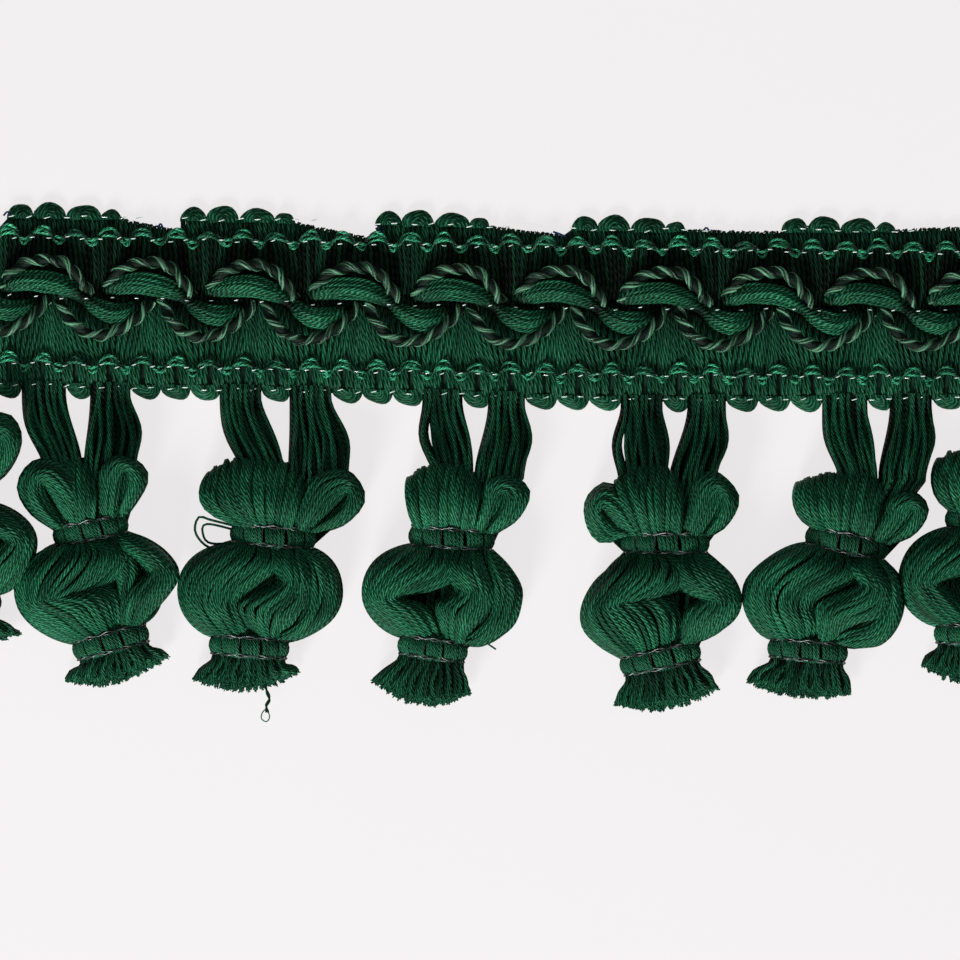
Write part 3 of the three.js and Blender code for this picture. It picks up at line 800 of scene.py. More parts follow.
class Shader(Nodes):
    """A material's nodes."""

    def __init__(self, name, roughness, specular, sheen=0.0):
        self.material = bpy.data.materials.get(name) or bpy.data.materials.new(name)
        self.material.use_nodes = True
        super().__init__(self.material.node_tree)
        self.main = self.tree.nodes["Principled BSDF"]
        self.main.inputs["Roughness"].default_value = roughness
        self.main.inputs["Specular IOR Level"].default_value = specular
        self.main.inputs["Sheen Weight"].default_value = sheen

    def attribute(self, name, output="Fac"):
        """What the strands store under this name."""
        return self.put("ShaderNodeAttribute", set_attribute_name=name).outputs[output]

    def place(self):
        """The place on the piece, in metres."""
        return self.put("ShaderNodeTexCoord").outputs["Object"]

    def vector(self, x, y, z):
        """Three values as one place."""
        return self.put("ShaderNodeCombineXYZ", X=x, Y=y, Z=z)

    def calc(self, operation, a, b=0.0, c=0.0):
        """A step of arithmetic."""
        return self.put("ShaderNodeMath", set_operation=operation, n0=a, n1=b, n2=c)

    def noise(self, place, scale, detail, roughness=0.5):
        """Smooth chance values over a place."""
        return self.put(
            "ShaderNodeTexNoise", Vector=place, Scale=scale, Detail=detail, Roughness=roughness
        ).outputs["Fac"]

    def paint(self, colour):
        """The base colour comes from this node or socket."""
        self.connect(colour, "Base Color")

    def emboss(self, height, depth, strength=1.0):
        """The surface seems to rise with height, up to depth in millimetres."""
        bump = self.put("ShaderNodeBump", Height=height, Distance=depth * MM, Strength=strength)
        self.connect(bump, "Normal")

    def connect(self, source, name):
        """The main shader's input of this name comes from a node or socket."""
        output = source.outputs[0] if isinstance(source, bpy.types.Node) else source
        self.tree.links.new(output, self.main.inputs[name])

    def ramp(self, value, *stops):
        """Colours at places from 0 to 1, blended between them."""
        node = self.put("ShaderNodeValToRGB", Fac=value)
        elements = node.color_ramp.elements
        while len(elements) < len(stops):
            elements.new(0.5)
        for element, (place, colour) in zip(elements, stops):
            element.position = place
            element.color = (*colour, 1.0)
        return node.outputs[0]


def shade(colour, amount, lift_by=0.0):
    """A colour made darker or lighter, and lifted towards white."""
    return tuple(min(1.0, c * amount + lift_by) for c in colour)


def yarn_material(name, colour, plies=5, spacing=0.92, roughness=0.5, specular=0.07, light=2.6, depth=0.11):
    """Plied yarn: twisted ridges, grooves darkened as painted shade, fibre streaks, a tint for each strand.

    spacing is the length of a ridge, depth that of a groove, and light that of the brightest fibres, a
    painted highlight."""
    mat = Shader(name, roughness, specular)
    along, tint_and_shade, lay = (mat.attribute(label) for label in ("along", "tint_and_shade", "lay"))
    turn = mat.put("ShaderNodeSeparateXYZ", Vector=mat.attribute("turn", "Vector")).outputs
    angle = mat.calc("ARCTAN2", turn["Y"], turn["X"])
    place = mat.place()
    drift = mat.noise(place, 420.0, 1.0)
    patch = mat.noise(place, 170.0, 2.0)
    phase = mat.calc("MULTIPLY", along, 2 * math.pi / (spacing * MM))
    for value, amount in ((angle, plies), (lay, 97.0), (drift, 7.0)):
        phase = mat.calc("ADD", phase, mat.calc("MULTIPLY", value, amount))
    ridge = mat.calc("POWER", mat.calc("MULTIPLY_ADD", mat.calc("COSINE", phase), 0.5, 0.5), 1.2)
    fibre = mat.vector(
        mat.calc("MULTIPLY", phase, 0.5),
        mat.calc("MULTIPLY", along, 900.0),
        mat.calc("MULTIPLY", lay, 31.0),
    )
    streak = mat.noise(fibre, 1.6, 2.0, 0.6)
    # Painted shade darkens the grooves between plies; the top stop, lifted towards white, is a painted
    # highlight.
    lit, bright = mat.calc("MULTIPLY_ADD", ridge, 0.8, 0.2), mat.calc("MULTIPLY_ADD", streak, 2.3, -0.3)
    body = mat.ramp(
        mat.calc("MULTIPLY", lit, bright),
        (0.0, shade(colour, 0.3)),
        (0.25, shade(colour, 0.62)),
        (0.55, shade(colour, 1.3)),
        (0.85, shade(colour, light, 0.036)),
    )
    # Tint brightens or darkens each strand: its own tone, and painted shade where it lies deep or in
    # shadow.
    level = mat.calc("MAXIMUM", mat.calc("MULTIPLY_ADD", tint_and_shade, 0.28, 0.56), 0.025)
    level = mat.calc("MULTIPLY", level, mat.calc("MULTIPLY_ADD", patch, 1.3, 0.35))
    grey = mat.put("ShaderNodeCombineColor", Red=level, Green=level, Blue=level)
    mixed = mat.put(
        "ShaderNodeMix", set_data_type="RGBA", set_blend_type="MULTIPLY", Factor=1.0, A=body, B=grey,
    )
    mat.paint(mixed.outputs["Result"])
    mat.emboss(mat.calc("ADD", ridge, mat.calc("MULTIPLY", streak, 0.4)), depth)
    return mat.material


def satin_material(name, colour, dark, roughness=0.36, specular=0.25):
    """A shiny strand of fine parallel filaments, streaked along its length with painted sheen."""
    mat = Shader(name, roughness, specular)
    turn = mat.put("ShaderNodeSeparateXYZ", Vector=mat.attribute("turn", "Vector")).outputs
    across = [mat.calc("MULTIPLY", turn[axis], 3.0) for axis in "XY"]
    fine = mat.vector(*across, mat.calc("MULTIPLY", mat.attribute("along"), 420.0))
    lines = mat.noise(fine, 1.6, 3.0, 0.65)
    level = mat.calc("ADD", lines, mat.calc("MULTIPLY", mat.attribute("tint_and_shade"), 0.3))
    mat.paint(mat.ramp(level, (0.3, dark), (0.6, colour), (0.95, shade(colour, 2.0))))
    mat.emboss(lines, 0.1, 0.8)
    return mat.material


def speckled(name, roughness, specular, scale, detail, low, high, depth=0.0):
    """A shader whose colour wavers between two stops of a fine noise, also raised by it."""
    mat = Shader(name, roughness, specular)
    grain = mat.noise(mat.place(), scale, detail)
    mat.paint(mat.ramp(grain, low, high))
    if depth:
        mat.emboss(grain, depth)
    return mat


def thread_material():
    """Fine dark binding thread with painted grey glints."""
    low, high = (0.46, (0.003, 0.008, 0.006)), (0.62, (0.036, 0.062, 0.051))
    return speckled("tie thread", 0.34, 0.6, 900.0, 2.0, low, high, 0.05).material


def filament_material():
    """Clear nylon filament, its glints painted as a pale colour."""
    low, high = (0.3, (0.25, 0.36, 0.31)), (0.6, (0.62, 0.74, 0.68))
    return speckled("clear filament", 0.18, 0.7, 1500.0, 1.0, low, high, 0.03).material


def shaded_inner_material():
    """Yarn deep inside a tassel, painted near black as shade, since hardly any light comes there."""
    low, high = (0.35, (0.0006, 0.003, 0.0015)), (0.7, (0.002, 0.011, 0.006))
    return speckled("inner yarn", 0.95, 0.02, 1200.0, 2.0, low, high, 0.1).material


def ground_material():
    """The woven ground under the weft yarns, painted dark as the shade between them: fine crossing ribs."""
    mat = Shader("ground cloth", 0.9, 0.2, 0.1)
    wave = mat.put("ShaderNodeTexWave", Vector=mat.place(), Scale=300.0, Distortion=1.5, Detail=1.0)
    rib = wave.outputs["Fac"]
    mat.paint(mat.ramp(rib, (0.2, (0.0015, 0.008, 0.005)), (0.9, (0.006, 0.035, 0.02))))
    mat.emboss(rib, 0.2)
    return mat.material


def floor_material(colour):
    """A plain pale floor, softly lit from within so that shadows on it stay faint."""
    low, high = (0.3, shade(colour, 0.10)), (0.7, shade(colour, 0.101))
    mat = speckled("pale floor", 0.9, 0.1, 40.0, 1.0, low, high)
    mat.main.inputs["Emission Color"].default_value = (*colour, 1.0)
    mat.main.inputs["Emission Strength"].default_value = 0.862
    return mat.material


# Stage, in metres

FLOOR_HALF = 3.0
CAMERA_HIGH = 1.6
SENSOR = 36.0  # millimetres of the camera's own
LAMPS = [
    dict(name="key", place=(-0.30, -0.75, 0.55), size=0.30, power=16.0),
    dict(name="fill", place=(0.1, 0.0, 1.3), size=1.0, power=4.0),
]
ROOM_COLOUR, ROOM_LIGHT = (0.95, 0.97, 1.0, 1.0), 0.18


class TRIM_OT_stage(Operator):
    """Lay the floor, set the lights and point the camera straight down"""

    bl_idname = "trim.stage"
    bl_label = "Stage"

    def execute(self, context):
        objects = context.scene.collection.objects
        mesh = bpy.data.meshes.new("floor")
        corners = [(x * FLOOR_HALF, y * FLOOR_HALF, 0) for x, y in ((-1, -1), (1, -1), (1, 1), (-1, 1))]
        mesh.from_pydata(corners, [], [(0, 1, 2, 3)])
        mesh.materials.append(floor_material(tuple(context.scene.trim_colours.floor)))
        floor = bpy.data.objects.new("floor", mesh)
        floor.location.z = -0.05 * MM
        objects.link(floor)

        for lamp in LAMPS:
            data = bpy.data.lights.new(lamp["name"], "AREA")
            data.size = lamp["size"]
            data.energy = lamp["power"]
            light = bpy.data.objects.new(lamp["name"], data)
            light.location = lamp["place"]
            light.rotation_euler = (-light.location).to_track_quat("-Z", "Y").to_euler()
            objects.link(light)

        world = bpy.data.worlds.new("soft room")
        world.use_nodes = True
        background = world.node_tree.nodes["Background"]
        background.inputs["Color"].default_value = ROOM_COLOUR
        background.inputs["Strength"].default_value = ROOM_LIGHT
        context.scene.world = world

        data = bpy.data.cameras.new("camera")
        data.sensor_width = SENSOR
        data.lens = SENSOR * CAMERA_HIGH / (PHOTO_SIDE * PX * MM)
        data.clip_end = 20.0
        camera = bpy.data.objects.new("camera", data)
        x, y, _ = mm([(PHOTO_SIDE / 2, PHOTO_SIDE / 2, 0.0)])[0] * MM
        camera.location = (x, y, CAMERA_HIGH)
        objects.link(camera)
        context.scene.camera = camera
        context.scene.view_settings.view_transform = "Standard"
        return {"FINISHED"}


# Heading

YARNS_IN_BUNCH = 7  # weft yarns to each loop of the edge
BUNCH_WIDE = 0.86  # of a scallop
GATHER_ABOVE, GATHER_BELOW = 4.0, 7.5  # px, how far the scroll draws the weft aside
CUT_FIBRES = 900
CLOTH_COLUMNS, CLOTH_ROWS = 120, 5
STITCHES_PAST_LOOPS = 22  # px, how far the top stitching runs on past a step's loops
STITCH_PLACES = 340  # along a stitch row
FACE_POINTS, BACK_POINTS = 23, 6  # along a weft yarn


def weft(skein, thick):
    """The weft yarns, in a bunch for each loop of the edge: up the back and down the face."""
    half = HALF_LONG - 4
    bunches = round(2 * half / SCALLOP)
    total = bunches * YARNS_IN_BUNCH
    for i in range(total):
        bunch, k = divmod(i, YARNS_IN_BUNCH)
        share = (k + 0.5) / YARNS_IN_BUNCH
        x = MIDDLE_X - half + (i + 0.5) / total * 2 * half
        bunched = MIDDLE_X - half + (bunch + 0.5 + (share - 0.5) * BUNCH_WIDE) * 2 * half / bunches
        centre, low = row("centre", x), row("low_stitch", x)
        upper, lower = row("upper_chain", x), row("lower_chain", x)
        height, looped = top_edge(x)
        edge = row("top_stitch", x) - 1 if looped else height + 2.5 + skein.spread(0.8)
        lean = skein.spread(1.2)
        drawn = -GATHER_BELOW * math.sin(2 * math.pi * (x - LOWER_CUSP) / ARC_PITCH)
        drawn_up = -GATHER_ABOVE * math.sin(2 * math.pi * (x - UPPER_CUSP) / ARC_PITCH)
        puff = 0.22 * math.sin(math.pi * share)
        # The tint column paints the scroll's shadow on the upper ground, and shade near both edges.
        face = [  # x, y, height, tint
            (x, edge, BACK_Z + 0.3, -0.9),
            (x, edge + 3, FRONT_Z - 0.1, -0.7),
            (x + lean, max(upper - 2, edge + 5), FRONT_Z - 0.1, -1.1),
            (x + drawn_up * 0.4, upper + 10, FRONT_Z + 0.02, -1.5),
            (x + drawn_up, centre - 22, FRONT_Z + 0.05, -1.7),
            (x + (drawn_up + drawn) / 2, centre, FRONT_Z - 0.15, -1.5),
            (x + drawn, centre + 22, FRONT_Z + 0.05, -0.5),
            (x + drawn * 0.5, (centre + lower) / 2 + 12, FRONT_Z + 0.08, 0.1),
            (bunched + lean, lower - 4, FRONT_Z - 0.1, 0.0),
            (bunched, lower + 6, FRONT_Z - 0.05 + puff, -0.1),
            (bunched - lean, (lower + low) / 2 + 3, FRONT_Z + 0.04 + puff, 0.1),
            (bunched, low - 1, FRONT_Z - 0.22, -0.2),
            (bunched, low + 2, BACK_Z + 0.2, -0.6),
        ]
        line = through(face, FACE_POINTS)
        line[:, 0] += [skein.spread(0.45) for _ in line]
        line[:, 2] += skein.spread(0.1)
        skein.add(mm(line[:, :3]), thick * (1 + skein.spread(0.08)), line[:, 3] + skein.spread(0.5))
        back = [(x, low + 1, BACK_Z + 0.12), (x, centre, BACK_Z), (x, edge + 1, BACK_Z + 0.12)]
        skein.add(mm(through(back, BACK_POINTS)), thick * 0.9, skein.spread(0.4))


def edge_loop(skein, left, right, base, depth, side, lean):
    """One loop of the edge, from pixel left to right: yarns laid one inside the other.

    side is 1 for a loop that hangs down and -1 for one that stands up. lean is in px."""
    middle, half = (left + right) / 2, (right - left) / 2
    swing = np.linspace(-0.12, math.pi + 0.12, 13)
    outermost = LOOP_YARNS[0][0]
    for size, z in LOOP_YARNS:
        reach = max(1.0, (depth - LOOP_YARN / 2 / PX) * size / outermost)
        x = middle - half * size * np.cos(swing) + lean * size * np.sin(swing) ** 2
        y = base + side * ((reach + 1.5) * np.clip(np.sin(swing), -0.3, 1) - 1.5)
        bumpy = 0.5 * np.sin(swing * 4 + middle)
        skein.add(mm(lift(np.column_stack([x, y + bumpy]), z)), LOOP_YARN, skein.spread(0.5))


def edge_loops(skein):
    """The loops along both edges: below, wherever no leg leaves the heading, and at each step."""
    half = HALF_LONG - 1
    edges = [MIDDLE_X - half, *(x for t in TASSELS for leg in t["legs"] for x in leg), MIDDLE_X + half]
    for left, right in zip(edges[::2], edges[1::2]):
        count = max(1, round((right - left) / SCALLOP))
        for k in range(count):
            a, b = (left + (right - left) * place / count for place in (k, k + 1))
            depth = LOW_LOOP_RISE + skein.spread(1.0)
            edge_loop(skein, a, b, row("low_stitch", (a + b) / 2), depth, 1, 5.0)
    for step, _ in TOP_STEPS:
        for begin, end, rise in zip(TOP_LOOPS, TOP_LOOPS[1:], LOOP_RISE):
            a, b = step + begin, step + end
            if a > edges[0] and b < edges[-1]:
                edge_loop(skein, a, b, row("top_stitch", (a + b) / 2), rise + 1.5, -1, 1.0)


def cut_edge(skein):
    """Short frayed fibres along the falling stretches of the upper edge."""
    for _ in range(CUT_FIBRES):
        x = MIDDLE_X + skein.spread(HALF_LONG - 3)
        edge, looped = top_edge(x)
        if looped and skein.chance.random() > 0.04:
            continue
        y = edge + 2.5
        lean, up = skein.spread(1.8), skein.chance.uniform(0.2, 1.5)
        z = skein.chance.uniform(0.5, 1.6)
        bend = (x + lean * 0.4, y - up * 0.8, z + 0.1)
        line = [(x, y, z), bend, (x + lean, y - up, z + skein.spread(0.4))]
        skein.add(mm(through(line, 4)), skein.chance.uniform(0.2, 0.36), skein.spread(1.0) - 0.2)


def blue_ends(skein):
    """Short ends of the edge's blue thread."""
    for end in BLUE_ENDS:
        skein.add(mm(lift(through(end, 8), 1.9)), 0.3, skein.spread(0.4))


def ground_cloth():
    """The ground between face and back yarns: a thin closed cloth from stitching to stitching."""
    half = HALF_LONG - 3
    columns = np.linspace(MIDDLE_X - half, MIDDLE_X + half, CLOTH_COLUMNS)
    verts, faces = [], []
    for z in (FRONT_Z - 0.5, BACK_Z + 0.1):
        for x in columns:
            top = max(row("top_stitch", x) - 1, top_edge(x)[0] + 2.5) + 1
            down = np.linspace(top, row("low_stitch", x), CLOTH_ROWS)
            verts += [tuple(p) for p in mm([(x, y, z) for y in down]) * MM]
    size, layer = CLOTH_ROWS, CLOTH_ROWS * CLOTH_COLUMNS
    for i in range(CLOTH_COLUMNS - 1):
        for j in range(size - 1):
            a = i * size + j
            faces.append((a, a + 1, a + size + 1, a + size))
            faces.append((layer + a, layer + a + size, layer + a + size + 1, layer + a + 1))
        for a, turned in ((i * size, False), (i * size + size - 1, True)):
            wall = (a, a + size, layer + a + size, layer + a)
            faces.append(wall[::-1] if turned else wall)
    last = (CLOTH_COLUMNS - 1) * size
    for j in range(size - 1):
        faces.append((j + 1, j, layer + j, layer + j + 1))
        faces.append((last + j, last + j + 1, layer + last + j + 1, layer + last + j))
    mesh = bpy.data.meshes.new("ground_cloth")
    mesh.from_pydata(verts, [], faces)
    mesh.materials.append(ground_material())
    cloth = bpy.data.objects.new("ground_cloth", mesh)
    bpy.context.scene.collection.objects.link(cloth)
    return cloth


def stitch_rows():
    """The rows of filament stitches, one piece each. The top one shows at the steps alone."""
    half = HALF_LONG - 6
    places = np.linspace(MIDDLE_X - half, MIDDLE_X + half, STITCH_PLACES)
    steps = [(step, step + TOP_LOOPS[-1] + STITCHES_PAST_LOOPS) for step, _ in TOP_STEPS]
    filament, tree = filament_material(), stitch_tree()
    pieces = []
    for i, stitches in enumerate(STITCH_ROWS):
        name = stitches["row"]
        line = Skein()
        for begin, end in steps if name == "top_stitch" else [(-math.inf, math.inf)]:
            x = places[(places > begin) & (places < end)]
            if len(x) > 1:
                run = np.column_stack([x, row(name, x) + stitches["drop"]])
                line.add(mm(lift(run, stitches["z"])), FILAMENT)
        piece = finished(
            "stitches_" + name, line.mesh("row_" + name), tree, Pitch=stitches["pitch"] * MM,
            Stitch=stitches["stitch"] * MM, Thickness=FILAMENT * MM, Seed=i, Material=filament,
        )
        pieces.append(settle(piece, "chain_thread"))
    return pieces


class TRIM_OT_heading(Operator):
    """Weave the heading: ground cloth, weft yarns, edge loops and stitch rows"""

    bl_idname = "trim.heading"
    bl_label = "Heading"

    def execute(self, context):
        yarns, colours = context.scene.trim_yarns, context.scene.trim_colours
        cloth = settle(ground_cloth(), "weft_yarn", "heading")
        look = yarn_material("weft yarn", tuple(colours.weft), plies=4, spacing=1.3, depth=0.08, light=2.0)
        fray = yarn_material("frayed fibre", (0.004, 0.035, 0.018), spacing=0.3, light=1.6)
        dyed = yarn_material("blue thread", (0.004, 0.016, 0.085))
        skeins = {key: Skein(yarns.seed + SEEDS[key]) for key in ("weft", "loops", "frayed", "blue")}
        weft(skeins["weft"], yarns.weft / MM)
        edge_loops(skeins["loops"])
        cut_edge(skeins["frayed"])
        blue_ends(skeins["blue"])
        pieces = [
            skeins["weft"].strands("weft_yarns", look, 5),
            skeins["loops"].strands("edge_loops", look, yarns.sides),
            skeins["blue"].strands("blue_ends", dyed, 4),
            skeins["frayed"].strands("cut_edge_fibres", fray, 3),
        ]
        for piece in pieces:
            settle(piece, "weft_yarn")
        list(stitch_rows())
        return {"FINISHED"}


# Chain rows

ARCH_POINTS = 24


def chain_row(skein, name, thick):
    """One chain row: threads laid side by side in arches, with smaller dips between them."""
    half = HALF_LONG - 4
    arches = round(2 * half / SCALLOP)
    u = np.linspace(0, arches, arches * ARCH_POINTS)
    phase = 2 * math.pi * u
    uneven = np.array([skein.chance.uniform(0.65, 1.2) for _ in range(arches + 1)])[np.round(u).astype(int)]
    up, down = np.clip(np.cos(phase), 0, 1) ** 0.7 * uneven, np.clip(-np.cos(phase), 0, 1) ** 0.7
    for thread in CHAIN_THREADS:
        a, b = skein.chance.random() * 6, skein.chance.random() * 6
        wander = 0.9 * np.sin(u * 2.3 + a) + 0.9 * np.sin(u * 9.7 + b)
        x = MIDDLE_X - half + u * 2 * half / arches + 2.0 * np.sin(phase) + 1.0 * np.sin(u * 7.9 + b)
        y = row(name, x) + 1.0 - thread["up"] * up + thread["down"] * down + wander
        z = thread["z"] + 0.3 * np.sin(u * 12.6 + a)
        # The tint paints shade where the threads cross between arches and paints them lighter on the arches
        # and dips.
        tint_and_shade = skein.spread(0.3) - 2.0 + 2.9 * np.maximum(up, down) ** 1.5 + 0.6 * np.sin(u * 17 + a)
        skein.add(mm(np.column_stack([x, y, z])), thick * (1 + 0.2 * np.sin(u * 5 + b)), tint_and_shade)


class TRIM_OT_chains(Operator):
    """Work the two chain rows: a twisted thread laid in small arches"""

    bl_idname = "trim.chains"
    bl_label = "Chain rows"

    def execute(self, context):
        yarns, colours = context.scene.trim_yarns, context.scene.trim_colours
        look = yarn_material(
            "chain thread", tuple(colours.chain),
            plies=3, spacing=0.66, roughness=0.38, specular=0.3, depth=0.12,
        )
        for name, node in (("upper_chain", "chain_upper"), ("lower_chain", "chain_lower")):
            skein = Skein(yarns.seed + SEEDS["chains"])
            chain_row(skein, name, yarns.thread / MM)
            settle(skein.strands(node + "_thread", look, 5), "chain_thread", node)
        return {"FINISHED"}


# Scroll

CUSHION_POINTS, ROPE_POINTS = 34, 42


def cushion_bundle(skein, middle, thick):
    """The bundle over one pitch: plied yarns side by side, tucked in where they start and end."""
    path = through([(middle + p["at"][0], p["at"][1], p["z"], p["wide"]) for p in CUSHION], CUSHION_POINTS)
    path[:, 1] += row("centre", path[:, 0])
    x, z, wide = path[:, 0], path[:, 2], path[:, 3]
    # Painted shade where the bundle narrows and tucks under the stitching at its ends.
    painted_shade = 3.2 * (wide - 1.0)
    for layer in CUSHION_LAYERS:
        rise = layer["rise"]
        for i in range(layer["yarns"]):
            side = 2 * (i + 0.5) / layer["yarns"] - 1
            wander = 0.6 * np.sin(x / 15.0 + i * 2.1 + rise * 5) + 0.4 * np.sin(x / 6.0 + i * 1.3)
            place = beside(path, side * layer["reach"] * wide * CUSHION_WIDE + wander)
            crowned = z + (rise + 0.75 * math.sqrt(max(0.0, 1 - side * side))) * wide + skein.spread(0.1)
            tint_and_shade = skein.spread(0.5) + painted_shade + layer["tint_and_shade"]
            skein.add(mm(np.column_stack([place, crowned])), thick * layer["size"], tint_and_shade)


def rope_arc(middle, points, way):
    """One arc of a rope as a function that gives a line wound round its middle line.

    It takes the line's radius and the turn where it starts, and also tells how far the line
    faces up at every point. way is the twist's."""
    path = through([(middle + x, y, 0.0) for x, y in points], ROPE_POINTS)
    path[:, 1] += row("centre", path[:, 0])
    arched = np.sin(math.pi * np.linspace(0, 1, ROPE_POINTS)) * 1.7
    path[:, 2] = ROPE_Z + ROPE_Z * np.clip(arched, 0, 1)
    centre = mm(path)
    step = np.gradient(centre, axis=0)
    step /= np.linalg.norm(step, axis=1)[:, None]
    across = np.cross(step, [0, 0, 1.0])
    across /= np.linalg.norm(across, axis=1)[:, None]
    up = np.cross(across, step)
    along = run_along(centre)

    def wound(radius, start):
        twist = way * 2 * math.pi * along / ROPE_LAY + start
        place = centre + radius * (across * np.cos(twist)[:, None] + up * np.sin(twist)[:, None])
        return place, np.sin(twist)

    return wound


def rope(shining, hidden, humps, points, way, thick):
    """A rope's arcs, one at each hump: two plies of filaments wound round a dark core."""
    waves = np.linspace(0, 1, ROPE_POINTS)
    for middle in humps:
        wound = rope_arc(middle, points, way)
        start = shining.spread(math.pi)
        hidden.add(wound(0.0, 0.0)[0], ROPE_CORE)
        for ply in (0, math.pi):
            for fibre in ROPE_FILAMENTS:
                out = fibre["out"] + shining.spread(0.1)
                line, facing = wound(out, start + ply + fibre["turn"] + shining.spread(0.1))
                tint_and_shade = fibre["tint_and_shade"] + shining.spread(0.4) + 0.9 * np.sin(waves * 27 + shining.spread(3.0))
                uneven = 1 + 0.3 * np.sin(waves * 21 + shining.spread(3.0))
                shining.add(line, thick * (0.45 + 0.7 * np.clip(facing, 0, 1)) * uneven, tint_and_shade)


class TRIM_OT_scroll(Operator):
    """Lay the scroll: the cushion bundle and the arcs of twisted rope on both its sides"""

    bl_idname = "trim.scroll"
    bl_label = "Scroll"

    def execute(self, context):
        yarns, colours = context.scene.trim_yarns, context.scene.trim_colours
        before = 1 - min(CUSHION[0]["at"][0], UPPER_ROPE[0][0])
        after = 2 + max(CUSHION[-1]["at"][0], LOWER_ROPE[-1][0])
        first = math.ceil((MIDDLE_X - HALF_LONG + before - HUMP) / ARC_PITCH)
        last = math.floor((MIDDLE_X + HALF_LONG - after - HUMP) / ARC_PITCH)
        humps = [HUMP + k * ARC_PITCH for k in range(first, last + 1)]
        cushion = Skein(yarns.seed + SEEDS["cushion"])
        for middle in humps:
            cushion_bundle(cushion, middle, yarns.cushion / MM)
        look = yarn_material("cushion yarn", tuple(colours.cushion), plies=4, spacing=0.78, light=4.2)
        settle(cushion.strands("cushion_yarns", look, 5), "bundle_yarn", "scroll_bundle")
        satin = satin_material("rope strand", tuple(colours.rope), (0.002, 0.012, 0.006))
        dark = satin_material("rope core", (0.002, 0.009, 0.005), (0.0008, 0.003, 0.002), 0.6, 0.1)
        for node, points, way in (("rope_upper", UPPER_ROPE, -1), ("rope_lower", LOWER_ROPE, 1)):
            shining, hidden = Skein(yarns.seed + SEEDS["rope"]), Skein()
            rope(shining, hidden, humps, points, way, yarns.strand / MM)
            settle(shining.strands(node + "_strands", satin, 4), "rope_strand", node)
            settle(hidden.strands(node + "_core", dark, 6), "rope_strand")
        return {"FINISHED"}


# Tassels

FOLD_POINTS, FAN_POINTS, RIM_POINTS, EAR_POINTS, LEG_POINTS = 26, 18, 60, 20, 13
SKIRT_POINTS, LOOSE_POINTS, BELLY_POINTS, FILLING_POINTS = 8, 26, 12, 8
BACK_SPACING, BACK_SIZE = 1.8, 1.9  # the yarns behind, as shares of those in front
ONION_LOW = 0.6  # the onion's lowest yarns, above the surface
GRIP = 0.9  # of a tie's half width, where the onion's outermost yarns enter it
HEAD_GRIP = 0.92  # and the head's
TUFTS = 7  # frayed fibres at each cut end


def swelling(away, reach):
    """From 0 at a tie to 1 where the yarns have spread to the body's full depth, reach px on."""
    return np.sin(math.pi / 2 * np.clip(away / reach, 0, 1)) ** 0.8


def round_turns(wide, deep, yarn, spacing, backed=True):
    """Angles round a bundle, each with its yarn's size: fewer and thicker yarns behind."""
    front = [(turn, 1.0) for turn in oval_turns(wide, deep, yarn * spacing) if turn < math.pi]
    back = [(turn, BACK_SIZE) for turn in oval_turns(wide, deep, yarn * BACK_SPACING) if turn > math.pi]
    return front + back if backed else front


def fullness(turn):
    """How far up a bundle's rounded section a yarn lies, from -1 to 1."""
    return math.copysign(abs(math.sin(turn)) ** 0.75, math.sin(turn))


def fold_guides(tassel, fold):
    """The outermost and innermost yarns of a bundle of the onion, as lines of pixels."""
    lines = []
    for side, key in ((0, "outer"), (1, "inner")):
        start = on_tie(tassel["upper"], fold["top"][side] * GRIP, HALF_TIE)
        end = on_tie(tassel["lower"], fold["low"][side] * GRIP, -HALF_TIE)
        way = [np.array(p, float) for p in fold[key]]
        if len(way) == 1:
            lines.append(fold_line(start, way[0], end, FOLD_POINTS))
        else:
            lines.append(through([start, *way, end], FOLD_POINTS))
    return lines


def backing(tassel):
    """The onion's yarns at the back, from its left side to its right one."""
    outers = sorted(p for fold in tassel["folds"] for p in fold["outer"])
    (left, left_y), (right, right_y) = outers[0], outers[-1]
    return dict(
        place="backing", top=(-0.95, 0.95), low=(-0.95, 0.95),
        outer=[(left + 9, left_y)], inner=[(right - 9, right_y)],
    )


def onion_fold(skein, tassel, fold, yarn):
    """One bundle of the onion: yarns all round it, from its outer edge to its inner one."""
    outer, inner = fold_guides(tassel, fold)
    name = fold.get("place", "front")
    top, tint_and_shade = PLACES[name]["top"], PLACES[name]["tint_and_shade"]
    wide = np.linalg.norm(outer - inner, axis=1).max() * PX / 2
    deep, middle = (top - ONION_LOW) / 2, (top + ONION_LOW) / 2
    inset = yarn / 2 / (wide * 2)
    t = np.linspace(0, 1, FOLD_POINTS)
    tie_z = UPPER_TIE_Z + (LOWER_TIE_Z - UPPER_TIE_Z) * t
    for i, (turn, size) in enumerate(round_turns(wide, deep, yarn, 0.88, name != "backing")):
        turn = turn + skein.spread(0.05)
        line = outer + (inner - outer) * (0.5 - (0.5 - inset) * math.cos(turn))
        away = np.minimum(below(tassel["upper"], line), below(tassel["lower"], line, -1)) - HALF_TIE
        swell = swelling(away - 1, 26)
        z = tie_z + (middle - tie_z) * swell + (NECK + (deep - NECK) * swell) * fullness(turn)
        weave = 1.0 * np.sin(t * 7 + i * 1.9) + 0.6 * np.sin(t * 13 + i * 4.1)
        line = line + weave[:, None] * np.array([0.8, 0.6])
        thick = yarn * (0.84 + 0.16 * swell) * (1 + skein.spread(0.06)) * size
        z = np.maximum(z + skein.spread(0.22) + 0.12 * np.sin(t * 9 + i), thick / 2)
        skein.add(mm(np.column_stack([line, z])), thick, skein.spread(0.8) + tint_and_shade)


